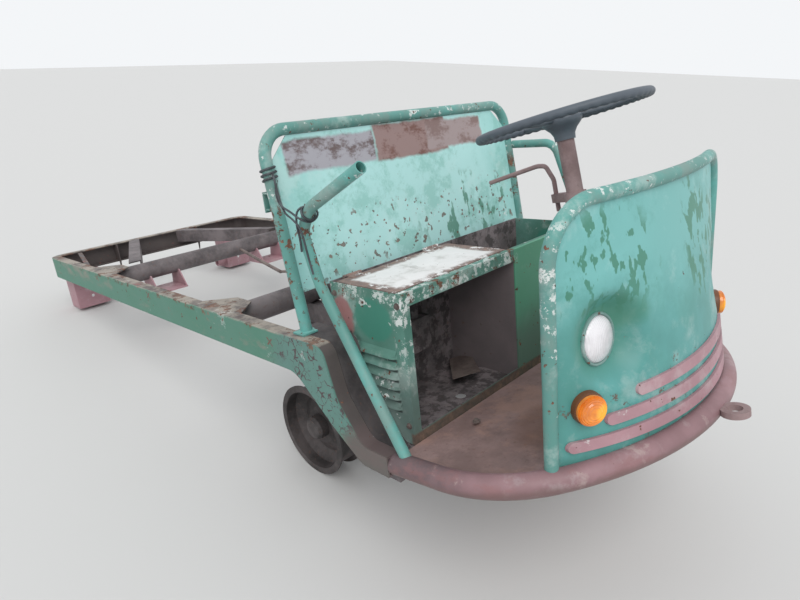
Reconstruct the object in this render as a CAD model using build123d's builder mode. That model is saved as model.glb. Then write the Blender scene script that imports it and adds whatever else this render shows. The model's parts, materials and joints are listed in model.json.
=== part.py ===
from build123d import *
from math import asin, atan2, cos, degrees, hypot, radians, sin, sqrt, tan
import os

# An electric platform truck, stripped and parked: deck, batteries, tyres, rear axle and cushions are gone.
# Millimetres. The truck is drawn level, with x from the rear beam to the front, y to its left and z up
# from the top of the deck frame. At the end it is tipped as it stands, on front rims and lamp boxes.

# Deck frame
DECK_WIDTH = 1200.0
DECK_LENGTH = 2260.0
RAIL_HEIGHT = 105.0
FLANGE_WIDTH = 45.0
RAIL_WALL = 6.0
DECK_CORNER = 80.0
TUBE_RADIUS = 42.0
TUBE_WALL = 5.0
TUBE_DROP = 52.0
REAR_TUBE_X = 745.0
FRONT_TUBE_X = 1835.0
GUSSET_HALF = 130.0
GUSSET_TIP = 45.0
GUSSET_REACH = 90.0
PLATE = 6.0
DIAGONAL_WIDTH = 60.0
DIAGONAL_HEIGHT = 70.0
DIAGONAL_START_Y = 145.0
DIAGONAL_END_Y = 400.0
HITCH_Y = 250.0
HITCH_DROP = 147.0
HITCH_WIDTH = 42.0
STRAP_WIDTH = 22.0
STRAP_START_Y = 458.0
STRAP_END_X = 520.0

# Rear lamp boxes, which the rear end now stands on
BOX_INNER_Y = 382.0
BOX_OUTER_Y = 547.0
BOX_DEPTH = 125.0
BOX_BOTTOM = -300.0
SHEET = 3.0
BOX_HOLE = 8.0
STUB_RADIUS = 25.0
STUB_LENGTH = 55.0

# Saddles under the rear cross tube
SADDLE_Y = 300.0
SADDLE_WIDTH = 150.0
SADDLE_REAR = 60.0
SADDLE_FRONT = 100.0
SADDLE_BOTTOM = -158.0

# Cab floor and bumper
FLOOR_RISE = 7.1
FRONT_X = 3205.0
FRONT_Z = -212.0
BUMPER_RADIUS = 29.0
BUMPER_HALF = 571.0
BUMPER_NOSE = 720.0
BUMPER_JOIN_Y = 460.0
NECK_END_X = 2650.0
FLOOR_DROP = 10.0
FLOOR_THICK = 4.0
FLOOR_TAIL_HALF = 530.0
BEAM_REAR_X = 2592.0
BEAM_DEPTH = 50.0
BEAM_HEIGHT = 50.0
TOW_EYE_RADIUS = 26.0
TOW_EYE_ROD = 8.0

# Seat box
SEAT_REAR_X = 2335.0
SEAT_FRONT_X = 2617.0
SEAT_HALF = 462.0
SEAT_TOP = 130.0
SEAT_FLOOR = -300.0
PARTITION_Y = 35.0
POST_WIDTH = 28.0
HEADER_HEIGHT = 36.0
HEADER_DEPTH = 20.0
SILL_HEIGHT = 34.0
LOUVRE_COUNT = 6
LOUVRE_PITCH = 30.0
LOUVRE_LENGTH = 165.0
LOUVRE_HEIGHT = 9.0
LOUVRE_REACH = 8.0
LOUVRE_ROOT = 4.0
LOUVRE_TOP = -34.0
LOUVRE_FRONT_X = 2580.0
LID_THICK = 14.0
LID_GAP = 6.0
HINGE_RADIUS = 2.5
HINGE_BARREL = 5.0
HINGE_LEAF = 26.0
HINGE_RISE = 2.0
HINGE_LENGTH = 50.0
HINGE_CLEARANCE = 0.3
OUTRIGGER = 60.0
DUCT_RADIUS = 28.0

# Seat back
BACK_BASE_X = 2310.0
BACK_RADIUS = 17.0
BACK_HALF = 546.0
BACK_HEIGHT = 556.0
BACK_LEAN = 7.8
BACK_CORNER = 95.0
BACK_FOOT = 64.0
BOARD_THICK = 4.0
BOARD_CLIP = 80.0
BOARD_BOTTOM = 136.0

# Arm tubes
ARM_RADIUS = 15.0
ARM_WALL = 2.5
ARM_BORE = 90.0
ARM_Y = 566.0
ARM_BEND = 60.0

# Front shield
SHIELD_HALF = 462.0
SHIELD_NOSE_X = 3200.0
SHIELD_NOSE_LOW = 720.0
SHIELD_TOP_X = 3095.0
SHIELD_NOSE_HIGH = 1550.0
SHIELD_FOOT = -215.0
SHIELD_TOP = 365.0
SHIELD_CORNER = 130.0
RIM_RADIUS = 16.0
BAR_HEIGHT = 26.0
BAR_PROUD = 7.0
BARS = ((-70.0, 268.0), (-115.0, 352.0), (-160.0, 436.0))
HEADLAMP_Y = 330.0
HEADLAMP_Z = 60.0
HEADLAMP_RADIUS = 64.0
LAMP_REAR_X = 3030.0
GLASS_X = 3058.0
GLASS_RADIUS = 52.0
INDICATOR_Y = 388.0
INDICATOR_Z = -73.0
INDICATOR_RADIUS = 38.0
INDICATOR_TURN = 29.0

# Steering
HELM_X = 2803.0
HELM_Z = 511.0
HELM_TILT = 11.0
HELM_RADIUS = 216.0
HELM_ROD = 12.0
HUB_RADIUS = 52.0
HUB_DEPTH = 48.0
COLUMN_RADIUS = 22.0
COLUMN_WALL = 3.0
STAY_Z = 305.0
LEVER_RADIUS = 6.5
LEVER_Y = 62.0

# Front axle and bare rims
AXLE_X = 2065.0
AXLE_Z = -458.0
AXLE_SIZE = 50.0
KINGPIN_Y = 290.0
KINGPIN_RADIUS = 14.0
KNUCKLE_RADIUS = 26.0
KNUCKLE_HALF = 24.0
STUB_AXLE_RADIUS = 18.0
STEERING_ARM = 110.0
FORK_THICK = 10.0
FORK_GAP = 20.0
STUB_END_Y = 412.0
RIM_OUTER = 165.0
RIM_WIDTH = 100.0
RIM_FACE_Y = 432.0
RIM_WALL = 6.0
RIM_STEP = 17.0
DISC_THICK = 9.0
WHEEL_HUB_RADIUS = 42.0
BORE_CLEARANCE = 0.4
SPRING_Y = 180.0
SPRING_HALF = 225.0
SPRING_CAMBER = 48.0
SPRING_LEAF = 8.0
SPRING_LEAVES = 4
SPRING_WIDTH = 50.0
EYE_RADIUS = 15.0
EYE_PIN = 8.0
INNER_RAIL_HEIGHT = 80.0
INNER_RAIL_WIDTH = 45.0
BEYOND = 9000.0

deck_half = DECK_WIDTH / 2
tread_drop = tan(radians(FLOOR_RISE))
cab = Plane(
    origin=(FRONT_X, 0, FRONT_Z),
    x_dir=(cos(radians(FLOOR_RISE)), 0, sin(radians(FLOOR_RISE))),
    z_dir=(-sin(radians(FLOOR_RISE)), 0, cos(radians(FLOOR_RISE))),
)
join_turn = degrees(asin(BUMPER_JOIN_Y / BUMPER_NOSE))
bumper_corner = (BUMPER_HALF - BUMPER_JOIN_Y) / (1 - sin(radians(join_turn)))
pieces = {}


def keep(label, shape):
    """Note a finished piece under its label, to be tipped and written at the end."""
    pieces[label] = shape


def mirrored(shape):
    """The same piece for the other side of the truck."""
    with BuildPart() as other:
        mirror(shape, about=Plane.XZ)
    return other.part


def cab_u(x):
    """A level x as a place along the cab floor's slope."""
    return (x - FRONT_X) / cos(radians(FLOOR_RISE))


def floor_z(x):
    """The height of the bumper's middle plane at a level x."""
    return FRONT_Z - (FRONT_X - x) * tread_drop


def nose_back(radius, y):
    """How far an arc of the radius has fallen back at y from its middle."""
    return radius - sqrt(radius * radius - y * y)


def rod(points, bends, radius, bore=0.0, depth=0.0):
    """A round bar along straight runs with tangent bends, and a bore into its far end."""
    with BuildPart() as bar:
        with BuildLine() as path:
            FilletPolyline(*points, radius=bends)
        with BuildSketch(Plane(origin=path.line @ 0, z_dir=path.line % 0)):
            Circle(radius)
        sweep(path=path.line)
        if bore:
            with BuildSketch(Plane(origin=path.line @ 1, z_dir=path.line % 1)):
                Circle(bore)
            extrude(amount=-depth, mode=Mode.SUBTRACT)
    return bar.part


# Deck frame: one pressed channel, bent round the rear and open inwards


def deck_plan(inset):
    """The deck's outline, inset, with rounded rear corners."""
    with BuildSketch() as plan:
        with Locations((inset, 0)):
            Rectangle(DECK_LENGTH - inset, DECK_WIDTH - 2 * inset, align=(Align.MIN, Align.CENTER))
        fillet(plan.vertices().group_by(Axis.X)[0], DECK_CORNER - inset)
    return plan.sketch


with BuildPart() as deck_frame:
    for base, height, depth in (
        (-RAIL_HEIGHT, RAIL_HEIGHT, RAIL_WALL),
        (-RAIL_HEIGHT, RAIL_WALL, FLANGE_WIDTH),
        (-RAIL_WALL, RAIL_WALL, FLANGE_WIDTH),
    ):
        with BuildSketch(Plane.XY.offset(base)):
            add(deck_plan(0))
            add(deck_plan(depth), mode=Mode.SUBTRACT)
        extrude(amount=height)
keep("deck_frame", deck_frame.part)

flange_y = deck_half - FLANGE_WIDTH
for label, x in (("cross_tube_rear", REAR_TUBE_X), ("cross_tube_front", FRONT_TUBE_X)):
    with BuildPart() as cross_tube:
        with BuildSketch(Plane.XZ.offset(-flange_y)):
            with Locations((x, -TUBE_DROP)):
                Circle(TUBE_RADIUS)
                Circle(TUBE_RADIUS - TUBE_WALL, mode=Mode.SUBTRACT)
        extrude(amount=2 * flange_y)
    keep(label, cross_tube.part)

with BuildPart() as tube_gussets:
    with BuildSketch(Plane.XY.offset(-PLATE)):
        for x in (REAR_TUBE_X, FRONT_TUBE_X):
            for side in (1, -1):
                with BuildLine():
                    Polyline(
                        (x - GUSSET_HALF, side * flange_y),
                        (x + GUSSET_HALF, side * flange_y),
                        (x + GUSSET_TIP, side * (flange_y - GUSSET_REACH)),
                        (x - GUSSET_TIP, side * (flange_y - GUSSET_REACH)),
                        close=True,
                    )
                make_face()
    extrude(amount=PLATE)
keep("tube_gussets", tube_gussets.part)

diagonal_end_x = REAR_TUBE_X - TUBE_RADIUS - 0.3
diagonal_angle = degrees(atan2(DIAGONAL_END_Y - DIAGONAL_START_Y, diagonal_end_x - FLANGE_WIDTH))
with BuildPart() as diagonal_right:
    with BuildSketch(Plane.XY.offset(-PLATE)):
        with BuildLine():
            Polyline(
                (FLANGE_WIDTH, -DIAGONAL_START_Y + DIAGONAL_WIDTH / 2),
                (diagonal_end_x, -DIAGONAL_END_Y + DIAGONAL_WIDTH / 2),
                (diagonal_end_x, -DIAGONAL_END_Y - DIAGONAL_WIDTH / 2),
                (FLANGE_WIDTH, -DIAGONAL_START_Y - DIAGONAL_WIDTH / 2),
                close=True,
            )
        make_face()
    extrude(amount=PLATE)
    with BuildSketch(Plane.XY.offset(-DIAGONAL_HEIGHT)):
        with BuildLine():
            Polyline(
                (FLANGE_WIDTH, -DIAGONAL_START_Y + DIAGONAL_WIDTH / 2),
                (diagonal_end_x, -DIAGONAL_END_Y + DIAGONAL_WIDTH / 2),
                (diagonal_end_x, -DIAGONAL_END_Y + DIAGONAL_WIDTH / 2 - PLATE),
                (FLANGE_WIDTH, -DIAGONAL_START_Y + DIAGONAL_WIDTH / 2 - PLATE),
                close=True,
            )
        make_face()
    extrude(amount=DIAGONAL_HEIGHT)
keep("deck_diagonal_right", diagonal_right.part)
keep("deck_diagonal_left", mirrored(diagonal_right.part))

with BuildPart() as hitch_plates:
    for y in (-HITCH_Y, HITCH_Y):
        with BuildSketch(Plane.XZ.offset(-y)):
            with BuildLine():
                Polyline(
                    (RAIL_WALL + 0.3, -RAIL_WALL - 0.3),
                    (RAIL_WALL + HITCH_WIDTH + 14, -RAIL_WALL - 0.3),
                    (RAIL_WALL + HITCH_WIDTH + 14, -RAIL_HEIGHT),
                    (RAIL_WALL + HITCH_WIDTH, -HITCH_DROP),
                    (FLANGE_WIDTH + 0.3, -HITCH_DROP),
                    (FLANGE_WIDTH + 0.3, -RAIL_HEIGHT + RAIL_WALL + 0.3),
                    (RAIL_WALL + 0.3, -RAIL_HEIGHT + RAIL_WALL + 0.3),
                    close=True,
                )
            make_face()
        extrude(amount=PLATE)
keep("hitch_plates", hitch_plates.part)

with BuildPart() as corner_strap:
    with BuildSketch(Plane.XY.offset(-RAIL_WALL - 4)):
        with BuildLine():
            Polyline(
                (20, -STRAP_START_Y),
                (20, -STRAP_START_Y + STRAP_WIDTH),
                (STRAP_END_X, -flange_y + STRAP_WIDTH - 14),
                (STRAP_END_X, -flange_y - 14),
                close=True,
            )
        make_face()
    extrude(amount=3.7)
keep("corner_strap", corner_strap.part)

# Rear lamp boxes, open to the rear
with BuildPart() as lamp_box_right:
    with BuildSketch(Plane.XY.offset(BOX_BOTTOM)):
        with Locations((0, -BOX_OUTER_Y)):
            Rectangle(BOX_DEPTH, BOX_OUTER_Y - BOX_INNER_Y, align=(Align.MIN, Align.MIN))
    extrude(amount=-RAIL_HEIGHT - BOX_BOTTOM)
    with BuildSketch(Plane.YZ):
        with Locations((-BOX_OUTER_Y + SHEET, BOX_BOTTOM + SHEET)):
            Rectangle(
                BOX_OUTER_Y - BOX_INNER_Y - 2 * SHEET,
                -RAIL_HEIGHT - BOX_BOTTOM - 2 * SHEET,
                align=(Align.MIN, Align.MIN),
            )
    extrude(amount=BOX_DEPTH - SHEET, mode=Mode.SUBTRACT)
    with BuildSketch(Plane.YZ.offset(BOX_DEPTH - SHEET)):
        with Locations((-(BOX_OUTER_Y + BOX_INNER_Y) / 2, (BOX_BOTTOM - RAIL_HEIGHT) / 2 - 40)):
            Circle(BOX_HOLE)
    extrude(amount=SHEET, mode=Mode.SUBTRACT)
    with BuildSketch(Plane.XZ.offset(BOX_INNER_Y)):
        with Locations((BOX_DEPTH / 2 + 20, BOX_BOTTOM + 45)):
            Circle(STUB_RADIUS)
            Circle(STUB_RADIUS - 5, mode=Mode.SUBTRACT)
    extrude(amount=-STUB_LENGTH)
keep("lamp_box_right", lamp_box_right.part)
keep("lamp_box_left", mirrored(lamp_box_right.part))

# Saddles that the rear axle hung from, and a bent stay
with BuildPart() as saddle_right:
    with BuildSketch(Plane.XY.offset(SADDLE_BOTTOM)):
        with Locations((REAR_TUBE_X - SADDLE_REAR, -SADDLE_Y)):
            Rectangle(SADDLE_REAR + SADDLE_FRONT, SADDLE_WIDTH, align=(Align.MIN, Align.CENTER))
    extrude(amount=PLATE)
    for y in (-SADDLE_Y - SADDLE_WIDTH / 2 + PLATE, -SADDLE_Y + SADDLE_WIDTH / 2):
        with BuildSketch(Plane.XZ.offset(-y)):
            with BuildLine():
                Polyline(
                    (REAR_TUBE_X - SADDLE_REAR, SADDLE_BOTTOM),
                    (REAR_TUBE_X + SADDLE_FRONT, SADDLE_BOTTOM),
                    (REAR_TUBE_X + TUBE_RADIUS, -DIAGONAL_HEIGHT - 3),
                    (REAR_TUBE_X - TUBE_RADIUS, -DIAGONAL_HEIGHT - 3),
                    close=True,
                )
            make_face()
            with Locations((REAR_TUBE_X, -TUBE_DROP)):
                Circle(TUBE_RADIUS, mode=Mode.SUBTRACT)
        extrude(amount=PLATE)
keep("axle_saddle_right", saddle_right.part)
keep("axle_saddle_left", mirrored(saddle_right.part))

# Swan necks: the rail's channel carried down to the bumper
neck_low = floor_z(NECK_END_X) - BUMPER_RADIUS
neck_high = floor_z(NECK_END_X) + BUMPER_RADIUS


def neck_outline():
    """The neck's side outline, as straight runs with bends."""
    with BuildSketch(Plane.XZ.offset(deck_half)) as outline:
        with BuildLine():
            upper = FilletPolyline(
                (DECK_LENGTH, 0),
                (2440, 0),
                (2476, -145),
                (2556, neck_high),
                (NECK_END_X, neck_high),
                radius=(40, 100, 50),
            )
            lower = FilletPolyline(
                (NECK_END_X, neck_low),
                (2550, neck_low),
                (2440, -228),
                (2300, -RAIL_HEIGHT),
                (DECK_LENGTH, -RAIL_HEIGHT),
                radius=(60, 260, 90),
            )
            Line(upper @ 1, lower @ 0)
            Line(lower @ 1, upper @ 0)
        make_face()
    return outline.sketch


with BuildPart() as neck_right:
    extrude(neck_outline(), amount=-FLANGE_WIDTH)
    with BuildSketch(Plane.XZ.offset(deck_half - RAIL_WALL)):
        add(neck_outline().moved(Location((0, RAIL_WALL, 0))))
        offset(amount=-RAIL_WALL, mode=Mode.REPLACE)
        with Locations((DECK_LENGTH, -RAIL_HEIGHT / 2)):
            Rectangle(4 * RAIL_WALL, RAIL_HEIGHT - 2 * RAIL_WALL)
        with Locations((NECK_END_X, (neck_low + neck_high) / 2)):
            Rectangle(4 * RAIL_WALL, 2 * (BUMPER_RADIUS - RAIL_WALL))
    extrude(amount=-FLANGE_WIDTH, mode=Mode.SUBTRACT)
keep("neck_right", neck_right.part)
keep("neck_left", mirrored(neck_right.part))

# Bumper ring, floor plate and floor beam, on the cab's sloping plane


def cab_outline(inset, rear_x):
    """The bumper's line on the cab plane, inset, from right rear round the nose to left rear."""
    side = BUMPER_HALF - inset
    corner_x = -BUMPER_NOSE * (1 - cos(radians(join_turn))) - bumper_corner * cos(radians(join_turn))
    start = Line((cab_u(rear_x), -side), (corner_x, -side))
    right = JernArc(start @ 1, start % 1, bumper_corner - inset, 90 - join_turn)
    middle = JernArc(right @ 1, right % 1, BUMPER_NOSE - inset, 2 * join_turn)
    left = JernArc(middle @ 1, middle % 1, bumper_corner - inset, 90 - join_turn)
    end = Line(left @ 1, (cab_u(rear_x), side))
    return [start, right, middle, left, end]


with BuildPart() as bumper_ring:
    with BuildLine(cab) as ring_path:
        cab_outline(0, NECK_END_X - 10)
    with BuildSketch(Plane(origin=ring_path.line @ 0, z_dir=ring_path.line % 0)):
        Circle(BUMPER_RADIUS)
    sweep(path=ring_path.line)
    with BuildSketch(Plane.YZ.offset(NECK_END_X + 0.3)):
        Rectangle(BEYOND, BEYOND)
    extrude(amount=-200, mode=Mode.SUBTRACT)
keep("bumper_ring", bumper_ring.part)

floor_inset = sqrt(BUMPER_RADIUS**2 - FLOOR_DROP**2) + 0.3
with BuildPart() as floor_plate:
    with BuildSketch(cab.offset(-FLOOR_DROP - FLOOR_THICK)):
        with BuildLine():
            cab_outline(floor_inset, NECK_END_X + 12)
            Polyline(
                (cab_u(NECK_END_X + 12), BUMPER_HALF - floor_inset),
                (cab_u(NECK_END_X + 12), FLOOR_TAIL_HALF),
                (cab_u(SEAT_FRONT_X + 1), FLOOR_TAIL_HALF),
                (cab_u(SEAT_FRONT_X + 1), -FLOOR_TAIL_HALF),
                (cab_u(NECK_END_X + 12), -FLOOR_TAIL_HALF),
                (cab_u(NECK_END_X + 12), -BUMPER_HALF + floor_inset),
            )
        make_face()
    extrude(amount=FLOOR_THICK)
keep("floor_plate", floor_plate.part)

with BuildPart() as floor_beam:
    with BuildSketch(Plane.XY.offset(SEAT_FLOOR - SHEET - 0.3)):
        with Locations((BEAM_REAR_X, 0)):
            Rectangle(BEAM_DEPTH, 2 * flange_y - 0.6, align=(Align.MIN, Align.CENTER))
    extrude(amount=-BEAM_HEIGHT)
keep("floor_beam", floor_beam.part)

with BuildPart() as tow_eye:
    with BuildSketch(cab.offset(-TOW_EYE_ROD)):
        with Locations((BUMPER_RADIUS + TOW_EYE_RADIUS, 0)):
            Circle(TOW_EYE_RADIUS + TOW_EYE_ROD)
            Circle(TOW_EYE_RADIUS - TOW_EYE_ROD, mode=Mode.SUBTRACT)
    extrude(amount=2 * TOW_EYE_ROD)
    add(bumper_ring.part, mode=Mode.SUBTRACT)
keep("tow_eye", tow_eye.part)

# Seat box
with BuildPart() as box_back:
    with BuildSketch(Plane.XY.offset(SEAT_FLOOR)):
        with Locations((SEAT_REAR_X, 0)):
            Rectangle(SHEET, 2 * SEAT_HALF, align=(Align.MIN, Align.CENTER))
    extrude(amount=SEAT_TOP - SEAT_FLOOR)
keep("box_back", box_back.part)

side_depth = SEAT_FRONT_X - SEAT_REAR_X - SHEET
with BuildPart() as box_side_right:
    with BuildSketch(Plane.XY.offset(SEAT_FLOOR)):
        with Locations((SEAT_REAR_X + SHEET, -SEAT_HALF)):
            Rectangle(side_depth, SHEET, align=(Align.MIN, Align.MIN))
    extrude(amount=SEAT_TOP - SEAT_FLOOR)
    for index in range(LOUVRE_COUNT):
        top = LOUVRE_TOP - index * LOUVRE_PITCH
        with BuildSketch(Plane.XZ.offset(SEAT_HALF)):
            with Locations((LOUVRE_FRONT_X, top)):
                Rectangle(LOUVRE_LENGTH, LOUVRE_HEIGHT, align=(Align.MAX, Align.MAX))
        extrude(amount=-SHEET, mode=Mode.SUBTRACT)
        with BuildSketch(Plane.YZ.offset(LOUVRE_FRONT_X - LOUVRE_LENGTH)):
            with BuildLine():
                Polyline(
                    (-SEAT_HALF, top + LOUVRE_ROOT),
                    (-SEAT_HALF - LOUVRE_REACH, top - LOUVRE_HEIGHT),
                    (-SEAT_HALF - LOUVRE_REACH + 2, top - LOUVRE_HEIGHT),
                    (-SEAT_HALF, top + 1),
                    close=True,
                )
            make_face()
        extrude(amount=LOUVRE_LENGTH)
keep("box_side_right", box_side_right.part)
keep("box_side_left", mirrored(box_side_right.part))

with BuildPart() as box_partition:
    with BuildSketch(Plane.XY.offset(SEAT_FLOOR)):
        with Locations((SEAT_REAR_X + SHEET, PARTITION_Y)):
            Rectangle(side_depth - SHEET - 0.3, SHEET, align=(Align.MIN, Align.MIN))
    extrude(amount=SEAT_TOP - SEAT_FLOOR - SHEET - 0.3)
keep("box_partition", box_partition.part)

front_x = SEAT_FRONT_X - SHEET
with BuildPart() as box_front:
    with BuildSketch(Plane.YZ.offset(front_x)):
        with BuildLine():
            Polyline(
                (-SEAT_HALF + SHEET, SEAT_FLOOR),
                (SEAT_HALF - SHEET, SEAT_FLOOR),
                (SEAT_HALF - SHEET, SEAT_TOP),
                (-SEAT_HALF + SHEET, SEAT_TOP),
                close=True,
            )
        make_face()
        with BuildLine():
            Polyline(
                (-SEAT_HALF + POST_WIDTH, SEAT_FLOOR + SILL_HEIGHT),
                (PARTITION_Y, SEAT_FLOOR + SILL_HEIGHT),
                (PARTITION_Y, SEAT_TOP - HEADER_HEIGHT),
                (-SEAT_HALF + POST_WIDTH, SEAT_TOP - HEADER_HEIGHT),
                close=True,
            )
        make_face(mode=Mode.SUBTRACT)
    extrude(amount=SHEET)
    with BuildSketch(Plane.XY.offset(SEAT_TOP - SHEET)):
        with Locations((front_x, 0)):
            Rectangle(HEADER_DEPTH, 2 * (SEAT_HALF - SHEET), align=(Align.MAX, Align.CENTER))
    extrude(amount=SHEET)
keep("box_front", box_front.part)

with BuildPart() as box_floor:
    with BuildSketch(Plane.XY.offset(SEAT_FLOOR - SHEET)):
        with Locations((SEAT_REAR_X, 0)):
            Rectangle(SEAT_FRONT_X - SEAT_REAR_X, 2 * SEAT_HALF, align=(Align.MIN, Align.CENTER))
        with Locations((SEAT_FRONT_X - 80, -170)):
            Circle(17, mode=Mode.SUBTRACT)
    extrude(amount=SHEET)
keep("box_floor", box_floor.part)

with BuildPart() as inner_duct:
    with BuildSketch(Plane.XY.offset(-60)):
        with Locations((SEAT_REAR_X + SHEET + DUCT_RADIUS, -190)):
            Circle(DUCT_RADIUS)
    extrude(amount=SEAT_TOP - LID_THICK + 40)
    with BuildSketch(Plane.XY.offset(-170)):
        with Locations((SEAT_REAR_X + SHEET, -190)):
            Rectangle(2 * DUCT_RADIUS + 10, 100, align=(Align.MIN, Align.CENTER))
    extrude(amount=110)
keep("inner_duct", inner_duct.part)

# Seat lid, a shallow tray on two hinges
hinge_x = SEAT_REAR_X + SHEET + HINGE_BARREL + 2
hinge_z = SEAT_TOP + HINGE_RISE
lid_rear = hinge_x + 2 * HINGE_BARREL
lid_front = front_x - HEADER_DEPTH - LID_GAP
lid_right = -SEAT_HALF + SHEET + LID_GAP
lid_left = PARTITION_Y - LID_GAP
with BuildPart() as seat_lid:
    with BuildSketch(Plane.XY.offset(SEAT_TOP - LID_THICK)) as lid_plan:
        with Locations((lid_rear, lid_right)):
            Rectangle(lid_front - lid_rear, lid_left - lid_right, align=(Align.MIN, Align.MIN))
    extrude(amount=LID_THICK)
    with BuildSketch(Plane.XY.offset(SEAT_TOP - LID_THICK)):
        offset(lid_plan.sketch, amount=-SHEET)
    extrude(amount=LID_THICK - SHEET, mode=Mode.SUBTRACT)
    for y in (lid_right + 70, lid_left - 70):
        with BuildSketch(Plane.XZ.offset(-y - HINGE_LENGTH / 2)):
            with Locations((hinge_x, SEAT_TOP)):
                Rectangle(HINGE_LEAF, HINGE_RISE, align=(Align.MIN, Align.MIN))
            with Locations((hinge_x, hinge_z)):
                Circle(HINGE_BARREL)
        extrude(amount=HINGE_LENGTH)
        with BuildSketch(Plane.XZ.offset(-y - HINGE_LENGTH / 2)):
            with Locations((hinge_x, hinge_z)):
                Circle(HINGE_RADIUS + HINGE_CLEARANCE)
        extrude(amount=HINGE_LENGTH, mode=Mode.SUBTRACT)
keep("seat_lid", seat_lid.part)

with BuildPart() as lid_hinges:
    for y in (lid_right + 70, lid_left - 70):
        with BuildSketch(Plane.XZ.offset(-y - HINGE_LENGTH / 2 - 8)):
            with Locations((hinge_x, hinge_z)):
                Circle(HINGE_RADIUS)
        extrude(amount=HINGE_LENGTH + 16)
        for end in (y - HINGE_LENGTH / 2 - 8, y + HINGE_LENGTH / 2 + 1):
            with BuildSketch(Plane.XZ.offset(-end)):
                with Locations((SEAT_REAR_X + SHEET, SEAT_TOP - 8)):
                    Rectangle(hinge_x - SEAT_REAR_X - SHEET, HINGE_RISE + 11, align=(Align.MIN, Align.MIN))
                with Locations((hinge_x, hinge_z)):
                    Circle(HINGE_RADIUS + 1.5)
            extrude(amount=-7)
keep("lid_hinges", lid_hinges.part)

# Seat back: a bent tube with a sheet between its legs
back = Plane(
    origin=(BACK_BASE_X, 0, 0),
    x_dir=(0, 1, 0),
    z_dir=(cos(radians(BACK_LEAN)), 0, sin(radians(BACK_LEAN))),
)
with BuildPart() as back_frame:
    with BuildLine(back) as back_path:
        FilletPolyline(
            (-BACK_HALF, 4),
            (-BACK_HALF, BACK_HEIGHT),
            (BACK_HALF, BACK_HEIGHT),
            (BACK_HALF, 4),
            radius=BACK_CORNER,
        )
    with BuildSketch(Plane(origin=back_path.line @ 0, z_dir=back_path.line % 0)):
        Circle(BACK_RADIUS)
    sweep(path=back_path.line)
    with BuildSketch(Plane.XY):
        with Locations((BACK_BASE_X, -BACK_HALF - 5), (BACK_BASE_X, BACK_HALF + 5)):
            Rectangle(BACK_FOOT, BACK_FOOT)
    extrude(amount=PLATE)
    with BuildSketch(Plane.XY):
        Rectangle(BEYOND, BEYOND)
    extrude(amount=-50, mode=Mode.SUBTRACT)
keep("back_frame", back_frame.part)

board_half = BACK_HALF - BACK_RADIUS - 0.3
board_top = BACK_HEIGHT - BACK_RADIUS - 0.3
with BuildPart() as back_board:
    with BuildSketch(back.offset(-BOARD_THICK / 2)):
        with BuildLine():
            Polyline(
                (-board_half, BOARD_BOTTOM),
                (board_half, BOARD_BOTTOM),
                (board_half, board_top - BOARD_CLIP),
                (board_half - BOARD_CLIP, board_top),
                (-board_half + BOARD_CLIP, board_top),
                (-board_half, board_top - BOARD_CLIP),
                close=True,
            )
        make_face()
    extrude(amount=BOARD_THICK)
keep("back_board", back_board.part)

# Arm tubes, the right one sawn off and bent
arm_foot_x = 2700.0
arm_foot = (arm_foot_x, floor_z(arm_foot_x) - 4)
arm_shapes = {
    "arm_right": (
        ((arm_foot[0], arm_foot[1]), (2432, 165), (2392, 300), (2440, 362), (2645, 458)),
        (200, 60, 50),
        -ARM_Y,
    ),
    "arm_left": (((arm_foot[0], arm_foot[1]), (2448, 398), (2268, 398)), ARM_BEND, ARM_Y),
}
for label, (route, bends, y) in arm_shapes.items():
    with BuildPart() as arm:
        add(rod([(x, y, z) for x, z in route], bends, ARM_RADIUS, ARM_RADIUS - ARM_WALL, ARM_BORE))
        add(bumper_ring.part, mode=Mode.SUBTRACT)
        add(back_frame.part, mode=Mode.SUBTRACT)
        with BuildSketch(Plane.XY.offset(floor_z(arm_foot[0]))):
            Rectangle(BEYOND, BEYOND)
        extrude(amount=-200, mode=Mode.SUBTRACT)
    keep(label, arm.part.solids().sort_by(SortBy.VOLUME)[-1])

with BuildPart() as box_outriggers:
    with BuildSketch(Plane.XY.offset(-RAIL_WALL - 0.3)):
        for side in (1, -1):
            with Locations((SEAT_REAR_X + 10, side * (SEAT_HALF + 0.3))):
                reach = deck_half - RAIL_WALL - SEAT_HALF - 0.6
                Rectangle(OUTRIGGER, reach, align=(Align.MIN, Align.MIN if side > 0 else Align.MAX))
    extrude(amount=-PLATE)
keep("box_outriggers", box_outriggers.part)

# Front shield: a sheet that is bowed more at its foot than at its top


def shield_shell(outer, inner):
    """The shield's wall between two offsets from its outer face."""
    with BuildPart() as shell:
        for z, nose_x, radius in (
            (SHIELD_FOOT, SHIELD_NOSE_X, SHIELD_NOSE_LOW),
            (SHIELD_TOP, SHIELD_TOP_X, SHIELD_NOSE_HIGH),
        ):
            with BuildSketch(Plane.XY.offset(z)):
                with BuildLine():
                    front = radius + outer
                    rear = radius + inner
                    front_turn = degrees(asin(SHIELD_HALF / front))
                    rear_turn = degrees(asin(SHIELD_HALF / rear))
                    face = CenterArc((nose_x - radius, 0), front, -front_turn, 2 * front_turn)
                    inside = CenterArc((nose_x - radius, 0), rear, -rear_turn, 2 * rear_turn)
                    Line(face @ 0, inside @ 0)
                    Line(face @ 1, inside @ 1)
                make_face()
        loft(ruled=True)
    return shell.part


def shield_x(y, z):
    """The x of the shield's outer face at a place across and up."""
    rise = (z - SHIELD_FOOT) / (SHIELD_TOP - SHIELD_FOOT)
    low = SHIELD_NOSE_X - nose_back(SHIELD_NOSE_LOW, y)
    high = SHIELD_TOP_X - nose_back(SHIELD_NOSE_HIGH, y)
    return low + (high - low) * rise


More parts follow.
